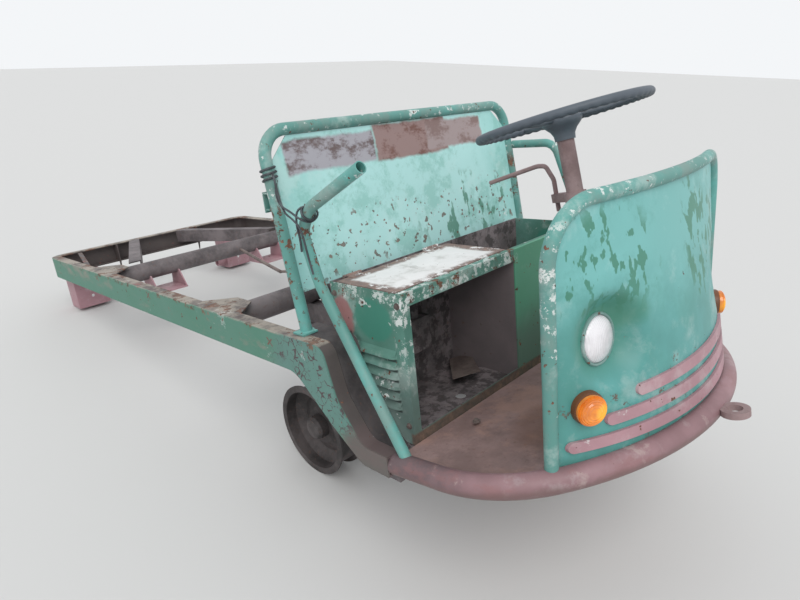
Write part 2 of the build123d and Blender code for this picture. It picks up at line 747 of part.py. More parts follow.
bend_y = SHIELD_HALF - SHIELD_CORNER
bend_x = SHIELD_TOP_X - nose_back(SHIELD_NOSE_HIGH, bend_y)
bend_turn = asin(bend_y / SHIELD_NOSE_HIGH)
leg_x = bend_x - SHIELD_CORNER * sin(bend_turn)
leg_y = bend_y + SHIELD_CORNER * cos(bend_turn)
crown_x = bend_x - SHIELD_CORNER * cos(radians(45)) * sin(bend_turn)
crown_y = bend_y + SHIELD_CORNER * cos(radians(45)) * cos(bend_turn)
crown_z = SHIELD_TOP - SHIELD_CORNER * (1 - sin(radians(45)))
with BuildPart() as shield_rim:
    with BuildLine() as rim_path:
        Line((leg_x, -leg_y, SHIELD_FOOT), (leg_x, -leg_y, SHIELD_TOP - SHIELD_CORNER))
        ThreePointArc(
            (leg_x, -leg_y, SHIELD_TOP - SHIELD_CORNER), (crown_x, -crown_y, crown_z), (bend_x, -bend_y, SHIELD_TOP)
        )
        ThreePointArc((bend_x, -bend_y, SHIELD_TOP), (SHIELD_TOP_X, 0, SHIELD_TOP), (bend_x, bend_y, SHIELD_TOP))
        ThreePointArc(
            (bend_x, bend_y, SHIELD_TOP), (crown_x, crown_y, crown_z), (leg_x, leg_y, SHIELD_TOP - SHIELD_CORNER)
        )
        Line((leg_x, leg_y, SHIELD_TOP - SHIELD_CORNER), (leg_x, leg_y, SHIELD_FOOT))
    with BuildSketch(Plane(origin=rim_path.line @ 0, z_dir=rim_path.line % 0)):
        Circle(RIM_RADIUS)
    sweep(path=rim_path.line)
    add(bumper_ring.part, mode=Mode.SUBTRACT)
keep("shield_rim", shield_rim.part.solids().sort_by(SortBy.VOLUME)[-1])

with BuildPart() as shield_panel:
    add(shield_shell(0, -SHEET))
    with BuildSketch(Plane.YZ.offset(leg_x - 200)):
        with BuildLine():
            outline = FilletPolyline(
                (-leg_y, SHIELD_FOOT),
                (-leg_y, SHIELD_TOP),
                (leg_y, SHIELD_TOP),
                (leg_y, SHIELD_FOOT),
                radius=SHIELD_CORNER,
            )
            Line(outline @ 1, outline @ 0)
        make_face()
        with Locations((-HEADLAMP_Y, HEADLAMP_Z), (HEADLAMP_Y, HEADLAMP_Z)):
            Circle(HEADLAMP_RADIUS, mode=Mode.SUBTRACT)
    extrude(amount=500, mode=Mode.INTERSECT)
    add(bumper_ring.part, mode=Mode.SUBTRACT)
    add(shield_rim.part, mode=Mode.SUBTRACT)
keep("shield_panel", shield_panel.part.solids().sort_by(SortBy.VOLUME)[-1])

with BuildPart() as shield_bars:
    add(shield_shell(BAR_PROUD, 0))
    with BuildSketch(Plane.YZ.offset(leg_x - 200)):
        for z, half in BARS:
            with Locations((0, z)):
                SlotOverall(2 * half, BAR_HEIGHT)
    extrude(amount=500, mode=Mode.INTERSECT)
keep("shield_bars", shield_bars.part)

with BuildPart() as lamp_cut:
    add(shield_shell(4, -160))

with BuildPart() as headlamp_bowls:
    with BuildSketch(Plane.YZ.offset(LAMP_REAR_X)):
        with Locations((-HEADLAMP_Y, HEADLAMP_Z), (HEADLAMP_Y, HEADLAMP_Z)):
            Circle(HEADLAMP_RADIUS - 0.3)
            Circle(HEADLAMP_RADIUS - 4, mode=Mode.SUBTRACT)
    extrude(amount=100)
    with BuildSketch(Plane.YZ.offset(LAMP_REAR_X)):
        with Locations((-HEADLAMP_Y, HEADLAMP_Z), (HEADLAMP_Y, HEADLAMP_Z)):
            Circle(HEADLAMP_RADIUS - 0.3)
    extrude(amount=SHEET)
    with BuildSketch(Plane.YZ.offset(LAMP_REAR_X + SHEET)):
        with Locations((-HEADLAMP_Y, HEADLAMP_Z), (HEADLAMP_Y, HEADLAMP_Z)):
            Circle(HEADLAMP_RADIUS - 4)
            Circle(GLASS_RADIUS - 8, mode=Mode.SUBTRACT)
    extrude(amount=GLASS_X - LAMP_REAR_X - SHEET)
    add(lamp_cut.part, mode=Mode.INTERSECT)
keep("headlamp_bowls", headlamp_bowls.part)

with BuildPart() as headlamp_glasses:
    with BuildSketch(Plane.YZ.offset(GLASS_X + 0.3)):
        with Locations((-HEADLAMP_Y, HEADLAMP_Z), (HEADLAMP_Y, HEADLAMP_Z)):
            Circle(GLASS_RADIUS)
    extrude(amount=14)
    fillet(headlamp_glasses.faces().group_by(Axis.X)[-1].edges(), 9)
keep("headlamp_glasses", headlamp_glasses.part)

with BuildPart() as panel_cut:
    add(shield_shell(0.3, -160))

indicator_x = shield_x(INDICATOR_Y, INDICATOR_Z)
turn = radians(INDICATOR_TURN)
lamp_plane = Plane(
    origin=(indicator_x, -INDICATOR_Y, INDICATOR_Z), x_dir=(0, 0, 1), z_dir=(cos(turn), -sin(turn), 0)
)
with BuildPart() as indicator_bases:
    with BuildSketch(lamp_plane.offset(-12)):
        Circle(INDICATOR_RADIUS)
    extrude(amount=22)
    with BuildSketch(lamp_plane.offset(-12)):
        Circle(INDICATOR_RADIUS - 6)
        Circle(INDICATOR_RADIUS - 10, mode=Mode.SUBTRACT)
    extrude(amount=28)
    add(panel_cut.part, mode=Mode.SUBTRACT)
    add(shield_bars.part, mode=Mode.SUBTRACT)
    mirror(about=Plane.XZ)
keep("indicator_bases", indicator_bases.part)

with BuildPart() as indicator_lenses:
    with BuildSketch(lamp_plane.offset(16.3)):
        Circle(INDICATOR_RADIUS - 3)
    extrude(amount=12)
    fillet(indicator_lenses.faces().sort_by(Axis(lamp_plane.origin, lamp_plane.z_dir))[-1].edges(), 8)
    mirror(about=Plane.XZ)
keep("indicator_lenses", indicator_lenses.part)

# Steering column, clamp, lever and wheel
tilt = radians(HELM_TILT)
helm = Plane(origin=(HELM_X, 0, HELM_Z), x_dir=(cos(tilt), 0, sin(tilt)), z_dir=(-sin(tilt), 0, cos(tilt)))
column_foot = (HELM_Z - floor_z(2955) + FLOOR_DROP) / cos(tilt)
with BuildPart() as steering_column:
    with BuildSketch(helm.offset(-column_foot - 12)):
        Circle(COLUMN_RADIUS)
        Circle(COLUMN_RADIUS - COLUMN_WALL, mode=Mode.SUBTRACT)
    extrude(amount=column_foot + 12 - HUB_DEPTH - 6)
    with BuildSketch(helm.offset(-column_foot)):
        Circle(COLUMN_RADIUS + 22)
        Circle(COLUMN_RADIUS - COLUMN_WALL, mode=Mode.SUBTRACT)
    extrude(amount=14)
    with BuildSketch(cab.offset(-FLOOR_DROP + 0.3)):
        Rectangle(BEYOND, BEYOND)
    extrude(amount=-200, mode=Mode.SUBTRACT)
keep("steering_column", steering_column.part)

with BuildPart() as drive_lever:
    lever_route = ((2757, 250), (2742, 338), (2716, 376), (2690, 376), (2522, 327))
    add(rod([(x, LEVER_Y, z) for x, z in lever_route], (30, 18, 60), LEVER_RADIUS))
keep("drive_lever", drive_lever.part)

stay_drop = (HELM_Z - STAY_Z) / cos(tilt)
stay_reach = (HELM_X + stay_drop * sin(tilt) - 2749) / cos(tilt)
stay_turn = degrees(atan2(LEVER_Y, -stay_reach))
with BuildPart() as column_clamp:
    with BuildSketch(helm.offset(-stay_drop - 12)):
        Circle(COLUMN_RADIUS + 7)
        with Locations((-stay_reach / 2, LEVER_Y / 2)):
            SlotOverall(hypot(stay_reach, LEVER_Y) + 26, 26, rotation=stay_turn)
        Circle(COLUMN_RADIUS + 0.3, mode=Mode.SUBTRACT)
    extrude(amount=24)
    add(drive_lever.part, mode=Mode.SUBTRACT)
keep("column_clamp", column_clamp.part)

with BuildPart() as steering_wheel:
    with BuildSketch(Plane(origin=helm.from_local_coords((HELM_RADIUS, 0, 0)), x_dir=helm.x_dir, z_dir=(0, -1, 0))):
        Circle(HELM_ROD)
    revolve(axis=Axis(helm.origin, helm.z_dir))
    with BuildSketch(helm.offset(-HUB_DEPTH)):
        Circle(HUB_RADIUS * 0.6)
    with BuildSketch(helm.offset(-HUB_DEPTH * 0.3)):
        Circle(HUB_RADIUS)
    loft()
    with BuildSketch(helm.offset(-HUB_DEPTH * 0.3)):
        Circle(HUB_RADIUS)
    extrude(amount=10)
    for angle in (-90, 30, 150):
        with BuildSketch(helm.offset(-9)):
            with PolarLocations(HELM_RADIUS / 2, 1, angle):
                Rectangle(HELM_RADIUS, 34)
        extrude(amount=8)
    with BuildSketch(helm.offset(-HUB_DEPTH - 60)):
        Circle(COLUMN_RADIUS - COLUMN_WALL - BORE_CLEARANCE)
    extrude(amount=62)
keep("steering_wheel", steering_wheel.part)

# Front axle: springs under short inner rails, a beam with forked ends, knuckles and bare rims
axle_top = AXLE_Z + AXLE_SIZE / 2
rail_base = -TUBE_DROP - TUBE_RADIUS - 0.3
with BuildPart() as inner_rails:
    for side in (1, -1):
        with BuildSketch(Plane.YZ.offset(FRONT_TUBE_X - TUBE_RADIUS)):
            with Locations((side * SPRING_Y, rail_base - INNER_RAIL_HEIGHT / 2)):
                Rectangle(INNER_RAIL_WIDTH, INNER_RAIL_HEIGHT)
                Rectangle(INNER_RAIL_WIDTH - 8, INNER_RAIL_HEIGHT - 8, mode=Mode.SUBTRACT)
        extrude(amount=SEAT_REAR_X - 0.3 - FRONT_TUBE_X + TUBE_RADIUS)
keep("inner_rails", inner_rails.part)

leaf_radius = (SPRING_HALF**2 + SPRING_CAMBER**2) / (2 * SPRING_CAMBER)
leaf_z = axle_top + 0.3 + SPRING_LEAVES * SPRING_LEAF + leaf_radius
eye_turn = asin(SPRING_HALF / leaf_radius)
eye_x = leaf_radius * sin(eye_turn)
eye_z = leaf_z - leaf_radius * cos(eye_turn)
with BuildPart() as front_springs:
    for side in (1, -1):
        with BuildSketch(Plane.XZ.offset(-side * SPRING_Y - SPRING_WIDTH / 2)):
            for index in range(SPRING_LEAVES):
                reach = degrees(eye_turn) * (1 - 0.24 * index)
                inner = leaf_radius + index * SPRING_LEAF
                with BuildLine():
                    upper = CenterArc((AXLE_X, leaf_z), inner, 270 - reach, 2 * reach)
                    lower = CenterArc((AXLE_X, leaf_z), inner + SPRING_LEAF, 270 - reach, 2 * reach)
                    Line(upper @ 0, lower @ 0)
                    Line(upper @ 1, lower @ 1)
                make_face()
            with Locations((AXLE_X - eye_x, eye_z), (AXLE_X + eye_x, eye_z)):
                Circle(EYE_RADIUS)
            with Locations((AXLE_X - eye_x, eye_z), (AXLE_X + eye_x, eye_z)):
                Circle(EYE_PIN + BORE_CLEARANCE, mode=Mode.SUBTRACT)
        extrude(amount=SPRING_WIDTH)
keep("front_springs", front_springs.part)

hanger_top = rail_base - INNER_RAIL_HEIGHT - 0.3
with BuildPart() as spring_hangers:
    for side in (1, -1):
        for x in (AXLE_X - eye_x, AXLE_X + eye_x):
            for y in (side * SPRING_Y - SPRING_WIDTH / 2 - 2, side * SPRING_Y + SPRING_WIDTH / 2 + 2 + PLATE):
                with BuildSketch(Plane.XZ.offset(-y)):
                    with BuildLine():
                        Polyline(
                            (x - 35, hanger_top),
                            (x + 35, hanger_top),
                            (x + 16, eye_z),
                            (x + 8, eye_z - 16),
                            (x - 8, eye_z - 16),
                            (x - 16, eye_z),
                            close=True,
                        )
                    make_face()
                extrude(amount=PLATE)
            with BuildSketch(Plane.XY.offset(hanger_top - PLATE)):
                with Locations((x, side * SPRING_Y)):
                    Rectangle(70, SPRING_WIDTH + 4 + 2 * PLATE)
            extrude(amount=PLATE)
            with BuildSketch(Plane.XZ.offset(-side * SPRING_Y - SPRING_WIDTH / 2 - 2)):
                with Locations((x, eye_z)):
                    Circle(EYE_PIN)
            extrude(amount=SPRING_WIDTH + 4)
keep("spring_hangers", spring_hangers.part)

with BuildPart() as front_axle:
    with BuildSketch(Plane.XZ.offset(-KINGPIN_Y + KNUCKLE_RADIUS + FORK_GAP)):
        with Locations((AXLE_X, AXLE_Z)):
            Rectangle(AXLE_SIZE, AXLE_SIZE)
    extrude(amount=2 * (KINGPIN_Y - KNUCKLE_RADIUS - FORK_GAP))
    for base in (AXLE_Z + KNUCKLE_HALF + 1, AXLE_Z - KNUCKLE_HALF - 1 - FORK_THICK):
        with BuildSketch(Plane.XY.offset(base)):
            for side in (1, -1):
                with Locations((AXLE_X, side * (KINGPIN_Y - FORK_GAP - 5))):
                    SlotOverall(2 * (KNUCKLE_RADIUS + FORK_GAP + 5), 2 * KNUCKLE_RADIUS, rotation=90)
        extrude(amount=FORK_THICK)
    with BuildSketch(Plane.XY.offset(AXLE_Z - KNUCKLE_HALF - 5)):
        with Locations((AXLE_X, -KINGPIN_Y), (AXLE_X, KINGPIN_Y)):
            Circle(KINGPIN_RADIUS)
    extrude(amount=2 * KNUCKLE_HALF + 10)
keep("front_axle", front_axle.part)

with BuildPart() as knuckle_right:
    with BuildSketch(Plane.XY.offset(AXLE_Z - KNUCKLE_HALF)):
        with Locations((AXLE_X, -KINGPIN_Y)):
            Circle(KNUCKLE_RADIUS)
    extrude(amount=2 * KNUCKLE_HALF)
    for radius, start, end in (
        (KNUCKLE_HALF - 1, KINGPIN_Y, KINGPIN_Y + KNUCKLE_RADIUS + 2),
        (STUB_AXLE_RADIUS, KINGPIN_Y + 15, STUB_END_Y),
    ):
        with BuildSketch(Plane.XZ.offset(start)):
            with Locations((AXLE_X, AXLE_Z)):
                Circle(radius)
        extrude(amount=end - start)
    with BuildSketch(Plane.XY.offset(AXLE_Z - 8)):
        with Locations((AXLE_X, -KINGPIN_Y + 8)):
            Rectangle(STEERING_ARM, 24, align=(Align.MIN, Align.CENTER))
        with Locations((AXLE_X + STEERING_ARM - 14, -KINGPIN_Y + 8)):
            Circle(7, mode=Mode.SUBTRACT)
    extrude(amount=16)
    with BuildSketch(Plane.XY.offset(AXLE_Z - KNUCKLE_HALF)):
        with Locations((AXLE_X, -KINGPIN_Y)):
            Circle(KINGPIN_RADIUS + BORE_CLEARANCE)
    extrude(amount=2 * KNUCKLE_HALF, mode=Mode.SUBTRACT)
keep("knuckle_right", knuckle_right.part)
keep("knuckle_left", mirrored(knuckle_right.part))

rim_inner_y = RIM_FACE_Y - RIM_WIDTH
well = RIM_OUTER - RIM_STEP
with BuildPart() as wheel_right:
    with BuildSketch(Plane.XY.offset(AXLE_Z)):
        with BuildLine():
            Polyline(
                (AXLE_X, -RIM_FACE_Y + 8),
                (AXLE_X + WHEEL_HUB_RADIUS - 8, -RIM_FACE_Y + 8),
                (AXLE_X + WHEEL_HUB_RADIUS, -RIM_FACE_Y + 18),
                (AXLE_X + WHEEL_HUB_RADIUS, -RIM_FACE_Y + 48),
                (AXLE_X + 66, -RIM_FACE_Y + 46),
                (AXLE_X + 104, -RIM_FACE_Y + 62),
                (AXLE_X + well - RIM_WALL, -RIM_FACE_Y + 40),
                (AXLE_X + well - RIM_WALL, -RIM_FACE_Y),
                (AXLE_X + RIM_OUTER, -RIM_FACE_Y),
                (AXLE_X + RIM_OUTER, -RIM_FACE_Y + RIM_WALL),
                (AXLE_X + well, -RIM_FACE_Y + RIM_WALL),
                (AXLE_X + well, -rim_inner_y - RIM_WALL),
                (AXLE_X + RIM_OUTER, -rim_inner_y - RIM_WALL),
                (AXLE_X + RIM_OUTER, -rim_inner_y),
                (AXLE_X + well - RIM_WALL, -rim_inner_y),
                (AXLE_X + well - RIM_WALL, -RIM_FACE_Y + 40 + DISC_THICK),
                (AXLE_X + 104, -RIM_FACE_Y + 62 + DISC_THICK),
                (AXLE_X + 66, -RIM_FACE_Y + 46 + DISC_THICK),
                (AXLE_X + WHEEL_HUB_RADIUS, -RIM_FACE_Y + 48 + DISC_THICK),
                (AXLE_X + WHEEL_HUB_RADIUS, -rim_inner_y - 5),
                (AXLE_X + STUB_AXLE_RADIUS + BORE_CLEARANCE, -rim_inner_y - 5),
                (AXLE_X + STUB_AXLE_RADIUS + BORE_CLEARANCE, -STUB_END_Y - 4),
                (AXLE_X, -STUB_END_Y - 4),
                close=True,
            )
        make_face()
    revolve(axis=Axis((AXLE_X, 0, AXLE_Z), (0, 1, 0)))
keep("wheel_right", wheel_right.part)
keep("wheel_left", mirrored(wheel_right.part))

# The truck tipped back until its box edges and its rims stand on one level
reach = AXLE_X
lift = AXLE_Z - BOX_BOTTOM
stand = asin(RIM_OUTER / hypot(reach, lift)) - atan2(lift, reach)
level = Compound(children=[Compound(piece.wrapped) for piece in pieces.values()])
parked = Location((0, 0, 0), (0, -degrees(stand), 0))
extent = level.moved(parked).bounding_box()
parked = Pos(-extent.center().X, -extent.center().Y, -extent.min.Z) * parked

os.makedirs("parts", exist_ok=True)
print("tipped", round(degrees(stand), 6), "moved", tuple(round(v, 4) for v in parked.position))
for label, piece in pieces.items():
    piece = piece.moved(parked)
    piece.label = label
    export_step(piece, f"parts/{label}.step")
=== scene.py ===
import json
import math

import bpy
from mathutils import Matrix, Vector, noise


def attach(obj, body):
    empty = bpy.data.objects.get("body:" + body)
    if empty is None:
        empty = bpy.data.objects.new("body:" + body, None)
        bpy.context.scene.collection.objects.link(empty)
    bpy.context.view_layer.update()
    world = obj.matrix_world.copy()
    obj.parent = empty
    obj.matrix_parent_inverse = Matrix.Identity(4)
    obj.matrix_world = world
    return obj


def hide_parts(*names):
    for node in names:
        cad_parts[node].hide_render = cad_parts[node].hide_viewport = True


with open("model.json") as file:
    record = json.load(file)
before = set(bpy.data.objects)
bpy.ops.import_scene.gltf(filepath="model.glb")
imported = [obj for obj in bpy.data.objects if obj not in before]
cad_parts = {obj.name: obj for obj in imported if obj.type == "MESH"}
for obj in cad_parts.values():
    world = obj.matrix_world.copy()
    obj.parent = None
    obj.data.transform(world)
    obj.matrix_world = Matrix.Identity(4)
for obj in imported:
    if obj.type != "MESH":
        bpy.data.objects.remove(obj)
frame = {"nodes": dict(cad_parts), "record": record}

bl_info = {
    "name": "Stripped Platform Truck",
    "version": (1, 0, 0),
    "blender": (4, 5, 0),
    "location": "View3D > Sidebar > Truck",
    "description": "Dresses the stripped platform truck: its worn paint, rust, fasteners and stage",
    "category": "Object",
}

# The truck is described level, in metres, with x from the rear beam, y to its left and z up from the
# deck frame's top. It stands tipped, and the face of the deck's right rail says by how much.
deck_top = next(m for m in frame["record"]["mounts"] if m["name"] == "deck_top_right")
TIP = math.atan2(-deck_top["axis"][0], deck_top["axis"][2])
STAND = Matrix.Rotation(-TIP, 3, "Y")
DECK_TOP_LEVEL = Vector((1.3, -0.5775, 0.0))
SHIFT = Vector(deck_top["pos_m"]) - STAND @ DECK_TOP_LEVEL

# The deck frame's half width and the radius of its rear corners
DECK_HALF = 0.600
DECK_CORNER = 0.080

# The seat box's half width, and the louvres in its sides
BOX_HALF = 0.462
LOUVRE_X = 2.4975
LOUVRE_HALF = 0.0825
LOUVRE_TOP = -0.034
LOUVRE_HEIGHT = 0.0195
LOUVRE_PITCH = 0.030
LOUVRE_COUNT = 6

# The seat back's plane, with its tube's middle line and radius
BACK_LEAN = math.radians(7.8)
BACK_BASE_X = 2.310
BACK_HALF = 0.546
BACK_HEIGHT = 0.556
BACK_ROD = 0.017

# The cab floor's front edge, and how it falls towards the rear
FLOOR_X = 3.205
FLOOR_Z = -0.212
FLOOR_FALL = math.radians(7.1)

# The shield's outer face: its outline, and the nose and the radius of its lower and upper arc
SHIELD_HALF = 0.462
SHIELD_FOOT = -0.215
SHIELD_TOP = 0.365
SHIELD_CORNER = 0.130
SHIELD_LOW = (3.200, 0.720)
SHIELD_HIGH = (3.095, 1.550)

# The left headlamp and the left indicator, which the right ones mirror
LAMP_X = 3.062
LAMP_Y = 0.315
LAMP_Z = 0.055
LAMP_YAW = math.radians(6.0)
LAMP_PITCH = math.radians(5.0)
BOWL_RADIUS = 0.061
INDICATOR_Y = 0.388
INDICATOR_Z = -0.073
INDICATOR_YAW = math.radians(29.0)

# The steering wheel's rim
HELM_MIDDLE = Vector((2.803, 0.0, 0.511))
HELM_TILT = math.radians(11.0)
HELM_RADIUS = 0.2155
HELM_ROD = 0.0115
HELM_RIBS = 54

# The camera stands where the photograph was taken from, turned by degrees
CAMERA_PLACE = (1.8385, -1.4125, 1.4140)
CAMERA_TURN = (65.7717, -0.6342, 44.2752)
CAMERA_LENS = 26.104

# Materials


class Link:
    """A socket of a material's tree that sums can be written with."""

    def __init__(self, paint, socket):
        self.paint = paint
        self.socket = socket

    def _sum(self, operation, *values):
        return self.paint.node("ShaderNodeMath", {"operation": operation}, dict(enumerate(values)))

    def __add__(self, other):
        return self._sum("ADD", self, other)

    def __sub__(self, other):
        return self._sum("SUBTRACT", self, other)

    def __rsub__(self, other):
        return self._sum("SUBTRACT", other, self)

    def __mul__(self, other):
        return self._sum("MULTIPLY", self, other)

    def abs(self):
        return self._sum("ABSOLUTE", self)

    def high(self, other):
        return self._sum("MAXIMUM", self, other)

    def low(self, other):
        return self._sum("MINIMUM", self, other)

    def power(self, other):
        return self._sum("POWER", self, other)

    __radd__ = __add__
    __rmul__ = __mul__


class Paint:
    """A material that is built up from worn layers on the truck's level coordinates."""

    def __init__(self, name):
        self.material = bpy.data.materials.new(name)
        self.material.use_nodes = True
        self.tree = self.material.node_tree
        self.shader = self.tree.nodes["Principled BSDF"]
        flat = self.node("ShaderNodeTexCoord", {}, {}, "Object")
        back = -(Matrix.Rotation(TIP, 3, "Y") @ SHIFT)
        turned_back = {"Vector": flat, "Location": back, "Rotation": (0.0, TIP, 0.0)}
        self.level = self.node("ShaderNodeMapping", {}, turned_back)
        split = self.tree.nodes.new("ShaderNodeSeparateXYZ")
        self.tree.links.new(self.level.socket, split.inputs[0])
        self.x, self.y, self.z = (Link(self, socket) for socket in split.outputs)

    def node(self, kind, settings, values, output=0):
        """Add a node, set it up, feed its sockets and give its output."""
        made = self.tree.nodes.new(kind)
        for name, value in settings.items():
            if name == "stops":
                ramp = made.color_ramp.elements
                while len(ramp) < len(value):
                    ramp.new(0.5)
                for element, (place, colour) in zip(ramp, value):
                    element.position = place
                    element.color = (*colour, 1.0)
            else:
                setattr(made, name, value)
        for name, value in values.items():
            socket = made.inputs[name]
            if isinstance(value, Link):
                self.tree.links.new(value.socket, socket)
            elif socket.type == "RGBA" and len(value) == 3:
                socket.default_value = (*value, 1.0)
            else:
                socket.default_value = value
        return Link(self, made.outputs[output])

    def noise(self, scale, detail=4.0, rough=0.6, stretch=(1.0, 1.0, 1.0), offset=0.0):
        """Cloudy noise from 0 to 1, scale times a metre, stretched along the truck's axes."""
        place = self.level
        if stretch != (1.0, 1.0, 1.0) or offset:
            moved = {"Vector": place, "Location": (offset, offset, offset), "Scale": stretch}
            place = self.node("ShaderNodeMapping", {}, moved)
        return self.node(
            "ShaderNodeTexNoise", {}, {"Vector": place, "Scale": scale, "Detail": detail, "Roughness": rough}
        )

    def step(self, value, low, high):
        """0 below low and 1 above high, with a smooth rise between them."""
        return self.node(
            "ShaderNodeMapRange",
            {"interpolation_type": "SMOOTHSTEP"},
            {"Value": value, "From Min": low, "From Max": high},
        )

    def mix(self, share, first, second):
        """The second colour over the first, by a share from 0 to 1."""
        return self.node(
            "ShaderNodeMix", {"data_type": "RGBA", "clamp_factor": True}, {0: share, 6: first, 7: second}, 2
        )

    def near(self, centre, size, soft=0.25, wobble=0.0):
        """1 inside a blob round a level place and 0 outside it, with a ragged edge."""
        parts = []
        for axis, middle, half in zip((self.x, self.y, self.z), centre, size):
            if half:
                parts.append(((axis - middle) * (1.0 / half)).power(2.0))
        far = parts[0]
        for part in parts[1:]:
            far = far + part
        if wobble:
            far = far + (self.noise(14.0, 6.0, 0.7) - 0.5) * wobble
        return 1.0 - self.step(far, 1.0 - soft, 1.0 + soft)

    def within(self, axis, low, high, soft=0.01, wobble=0.0):
        """1 between two places along an axis."""
        value = axis
        if wobble:
            value = value + (self.noise(9.0, 6.0, 0.7) - 0.5) * wobble
        return self.step(value, low - soft, low + soft) * (1.0 - self.step(value, high - soft, high + soft))

    def finish(self, colour, rough, bump, depth=0.002):
        """Feed the shader its colour, roughness and bumps, and give the material."""
        normal = self.node("ShaderNodeBump", {}, {"Strength": 0.6, "Distance": depth, "Height": bump})
        for name, value in (("Base Color", colour), ("Roughness", rough), ("Normal", normal)):
            if isinstance(value, Link):
                self.tree.links.new(value.socket, self.shader.inputs[name])
            else:
                self.shader.inputs[name].default_value = value
        return self.material


def rust_colour(paint):
    """Brown rust from dark scale to orange dust."""
    cloud = paint.noise(38.0, 6.0, 0.7)
    return paint.node(
        "ShaderNodeValToRGB",
        {"stops": [(0.28, (0.045, 0.026, 0.022)), (0.5, (0.15, 0.070, 0.048)), (0.74, (0.30, 0.155, 0.10))]},
        {0: cloud},
    )


# Finishes: colours are linear red, green and blue
MINT = (0.40, 0.72, 0.70)
GREEN = (0.115, 0.385, 0.37)
GREEN_SHADE = (0.075, 0.27, 0.25)
BOTTLE = (0.045, 0.20, 0.125)
BOTTLE_SHADE = (0.03, 0.10, 0.07)
DULL_GREEN = (0.12, 0.24, 0.20)
PALE = (0.70, 0.74, 0.72)
DUST = (0.36, 0.32, 0.27)
DARK_SHADE = (0.028, 0.025, 0.025)
PINK = (0.36, 0.215, 0.235)
PINK_SHADE = (0.22, 0.125, 0.135)
RED_LEAD = (0.30, 0.10, 0.085)


def worn(name, base, shade, rust_at, speck_at, pale, rough, marks=None, scars=None):
    """Old paint: faded in clouds, with rust blotches from rust_at, specks from speck_at and pale edges.

    marks(paint, colour) adds a piece's own colours, and scars(paint, colour, rust, halo) its own damage.
    """
    paint = Paint(name)
    cloud = paint.noise(2.4, 5.0, 0.6)
    fine = paint.noise(22.0, 6.0, 0.65)
    colour = paint.mix(paint.step(cloud, 0.35, 0.68), shade, base)
    colour = paint.mix(paint.step(fine, 0.45, 0.70) * 0.4, colour, shade)
    bloom = paint.noise(8.0, 7.0, 0.7, offset=9.3)
    colour = paint.mix(paint.step(bloom, 0.52, 0.66) * pale * 0.3, colour, PALE)
    if marks:
        colour = marks(paint, colour)
    blotch = paint.noise(7.0, 9.0, 0.72, offset=3.1)
    speck = paint.noise(46.0, 3.0, 0.6, offset=1.7)
    rust = paint.step(blotch, rust_at, rust_at + 0.02).high(paint.step(speck, speck_at, speck_at + 0.02))
    halo = paint.step(blotch, rust_at - 0.03, rust_at - 0.02) * (1.0 - rust) * pale
    if scars:
        colour, rust, halo = scars(paint, colour, rust, halo)
    colour = paint.mix(halo, colour, PALE)
    colour = paint.mix(rust, colour, rust_colour(paint))
    height = fine * 0.25 + (1.0 - rust) * 0.6
    return paint.finish(colour, rust * (0.9 - rough) + rough, height)


def bare(name, base, shade, rough, scale=6.0, rust=0.5, marks=None):
    """Bare or grimy metal, clouded between two colours."""
    paint = Paint(name)
    cloud = paint.noise(scale, 8.0, 0.7)
    grain = paint.noise(60.0, 5.0, 0.7)
    colour = paint.mix(paint.step(cloud, 0.35, 0.65), shade, base)
    colour = paint.mix(paint.step(grain, 0.55, 0.72) * rust, colour, rust_colour(paint))
    if marks:
        colour = marks(paint, colour)
    return paint.finish(colour, rough, grain + cloud * 0.5)


def chips(paint, scale, at, offset=0.0):
    """Small flakes that lost their paint."""
    return paint.step(paint.noise(scale, 7.0, 0.75, offset=offset), at, at + 0.015)


def shield_marks(paint, colour):
    """A sun-bleached crown, darker dabs brushed down it and painted shade in the dishes round the lamps."""
    bleach = paint.within(paint.z, 0.12, 0.45, 0.12, 0.2)
    colour = paint.mix(bleach * 0.5, colour, (0.25, 0.60, 0.58))
    mottle = paint.step(paint.noise(6.0, 8.0, 0.75, offset=14.0), 0.48, 0.62)
    colour = paint.mix(mottle * 0.35, colour, (0.07, 0.27, 0.23))
    dab = paint.step(paint.noise(32.0, 3.0, 0.55, (1.0, 1.0, 0.55), 5.0), 0.545, 0.575)
    where = paint.near((0.0, -0.30, 0.22), (0.0, 0.17, 0.12), 0.4, 1.2)
    where = where.high(paint.near((0.0, 0.10, 0.20), (0.0, 0.10, 0.16), 0.4, 1.2))
    where = where.high(paint.near((0.0, 0.30, 0.18), (0.0, 0.10, 0.16), 0.4, 1.2))
    colour = paint.mix(dab * where * 0.85, colour, BOTTLE)
    # Painted shade in each headlamp's dish: two soft dark rings round the lamp, and a darker patch in the
    # hollow above and inboard of it
    for side in (-1, 1):
        for size, share, shade in ((0.12, 0.35, GREEN_SHADE), (0.088, 0.45, BOTTLE)):
            shadow = paint.near((0.0, side * LAMP_Y, LAMP_Z + 0.012), (0.0, size, size), 0.5, 0.3)
            colour = paint.mix(shadow * share, colour, shade)
        hollow_shade = paint.near((0.0, side * (LAMP_Y - 0.058), LAMP_Z + 0.048), (0.0, 0.062, 0.042), 0.7, 0.4)
        colour = paint.mix(hollow_shade * 0.6, colour, BOTTLE)
    foot = paint.within(paint.z, -0.25, -0.185, 0.02, 0.06)
    return paint.mix(foot * 0.5, colour, BOTTLE_SHADE)


def shield_rust(paint, colour, rust, halo):
    """Scratches and rust below the ribs, and pale scuffs on them."""
    low = paint.within(paint.z, -0.19, -0.03, 0.02, 0.05) * chips(paint, 17.0, 0.62, 2.0)
    pits = chips(paint, 42.0, 0.685, 8.0) * paint.within(paint.y, 0.0, 0.5, 0.1)
    return colour, rust.high(low * 0.8).high(pits), halo.high(chips(paint, 30.0, 0.70, 4.4) * 0.8)


